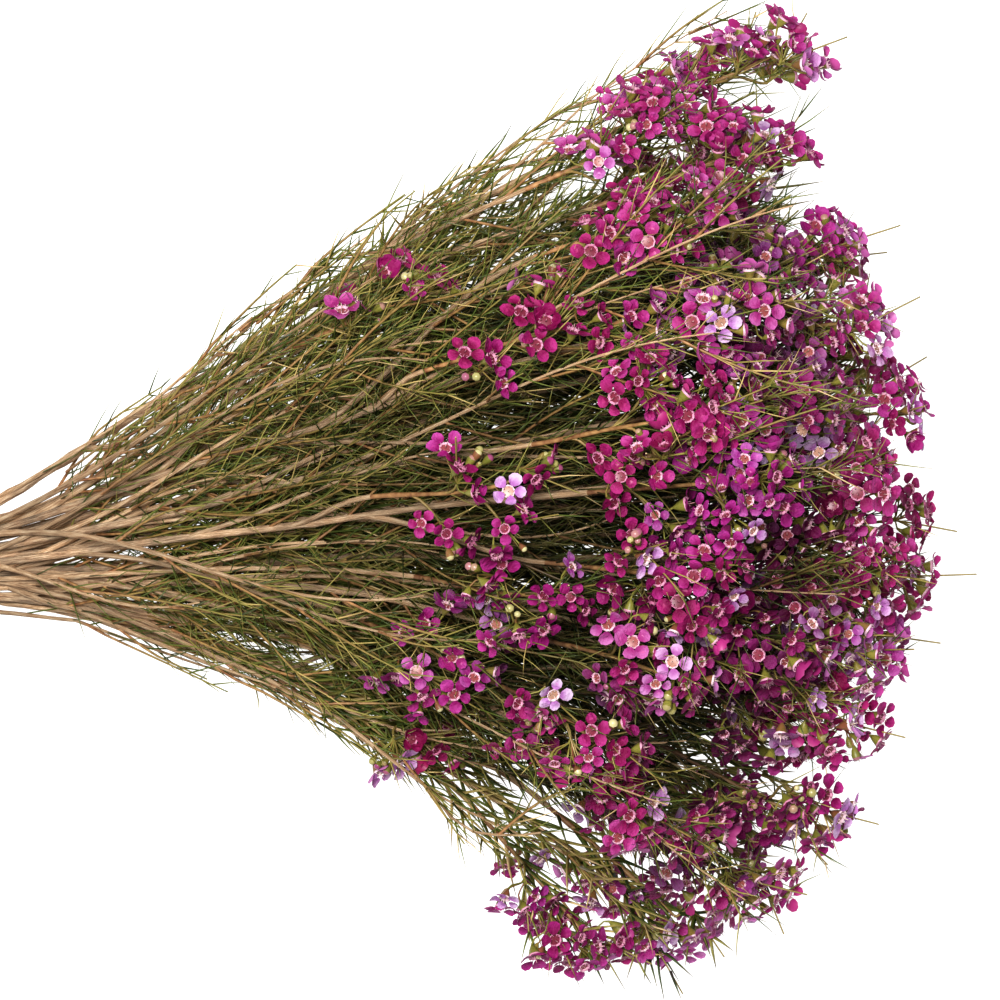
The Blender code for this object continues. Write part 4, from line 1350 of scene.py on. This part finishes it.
# Flowers of one spray open together, so their colours are near to each other
spray_shade = np.clip(draw.normal(0.46, 0.27, len(sprays)), 0.02, 1)
shades = np.clip(spray_shade[owner] * 0.55 + 0.45 * draw.beta(1.3, 1.6, len(flowers)), 0, 1)
newest = draw.uniform(size=len(flowers)) < NEWEST_SHARE
shades[newest] = draw.uniform(0.8, 1, newest.sum())
turns = draw.uniform(0, 2 * math.pi, len(flowers))
strains = np.clip(draw.beta(1, 1.6, len(sprays))[owner] + draw.normal(0, 0.15, len(flowers)), 0, 1)
for i, spray in enumerate(sprays):
    piece = Piece()
    for kind, shape in enumerate(open_flowers):
        own = np.flatnonzero((owner == i) & (kinds == kind))
        if len(own):
            laid = set_down(shape, flowers[own], faces[own], turns[own], sizes[own])
            violet = np.repeat(strains[own][:, None], len(shape.points), axis=1)
            piece.add(shape, laid, shades[own], young=violet, scale=1 / MM)
    places, facings = (np.array([bud[k] for bud in spray["buds"]]) for k in (2, 3))
    many = len(places)
    size = draw.uniform(*BUD_SIZE, many)
    laid = set_down(bud_shape, places, facings, draw.uniform(0, 6.28, many), size)
    piece.add(bud_shape, laid, draw.uniform(size=many), scale=1 / MM)
    finishes = [petal_skin, petal_back, cup_skin, cup_rim, nectar_disc, style_skin, bud_skin]
    piece.make(f"spray_{i + 1:02d}_flowers", finishes, f"spray_{i + 1:02d}")


# The band: one loop of natural rubber, cut square and wound three times round the neck, so that
# it lies flat against the outermost stems.
BAND_TURNS = 3
BAND_STEP = 2.2 * MM
BAND_HALF_WIDTH = BAND_STEP * 0.47
SQUARENESS = 0.5
RINGS_PER_TURN = 64

# Natural rubber is tan and matte, with a dusting of chalk
band_rubber, tree, shader = new_finish("natural_rubber", 0.6)
place = add_node(tree, "TexCoord", {}).outputs["Object"]
chalk = add_node(tree, "TexNoise", {"Vector": place, "Scale": 900.0, "Detail": 3.0})
rubber = add_node(tree, "ValToRGB", {0: chalk}, stops=((0.35, "#b0814f"), (0.7, "#c79c6c")))
tree.links.new(rubber.outputs[0], shader.inputs["Base Color"])

spots = np.array([place for row in neck_places() for place in row])
ways = [np.array((math.cos(a), math.sin(a))) for a in np.linspace(0, 2 * math.pi, 121)]
middle = NECK_STEM_RADIUS + BAND_CLEARANCE + BAND_THICKNESS / 2
outline = np.array([spots[(spots @ way).argmax()] + way * middle for way in ways])
loop = resampled(np.column_stack((np.zeros(len(outline)), outline)), RINGS_PER_TURN + 1)[:-1]
loop = np.roll(loop, -int(loop[:, 2].argmin()), axis=0)
count = BAND_TURNS * RINGS_PER_TURN + 1
line = np.array([loop[k % RINGS_PER_TURN] for k in range(count)])
line[:, 0] = np.linspace(-1, 1, count) * BAND_STEP * (BAND_TURNS - 1) / 2
line += np.array((NECK_X, NECK_Y, neck_height()))
band_bar = bar(8, count - 1)
rings = np.rint(band_bar.points[:, 2] * (count - 1)).astype(int)
along = np.gradient(line, axis=0)
outward_way = np.cross(along, (1.0, 0.0, 0.0))
outward_way /= np.linalg.norm(outward_way, axis=1, keepdims=True)
squared = np.sign(band_bar.points) * np.abs(band_bar.points) ** SQUARENESS
laid = (
    line[rings]
    + squared[:, 0, None] * np.array((BAND_HALF_WIDTH, 0, 0))
    + squared[:, 1, None] * outward_way[rings] * BAND_THICKNESS / 2
)
piece = Piece()
piece.add(band_bar, laid[None], 0.5)
piece.make("rubber_band", [band_rubber, band_rubber], "tie")
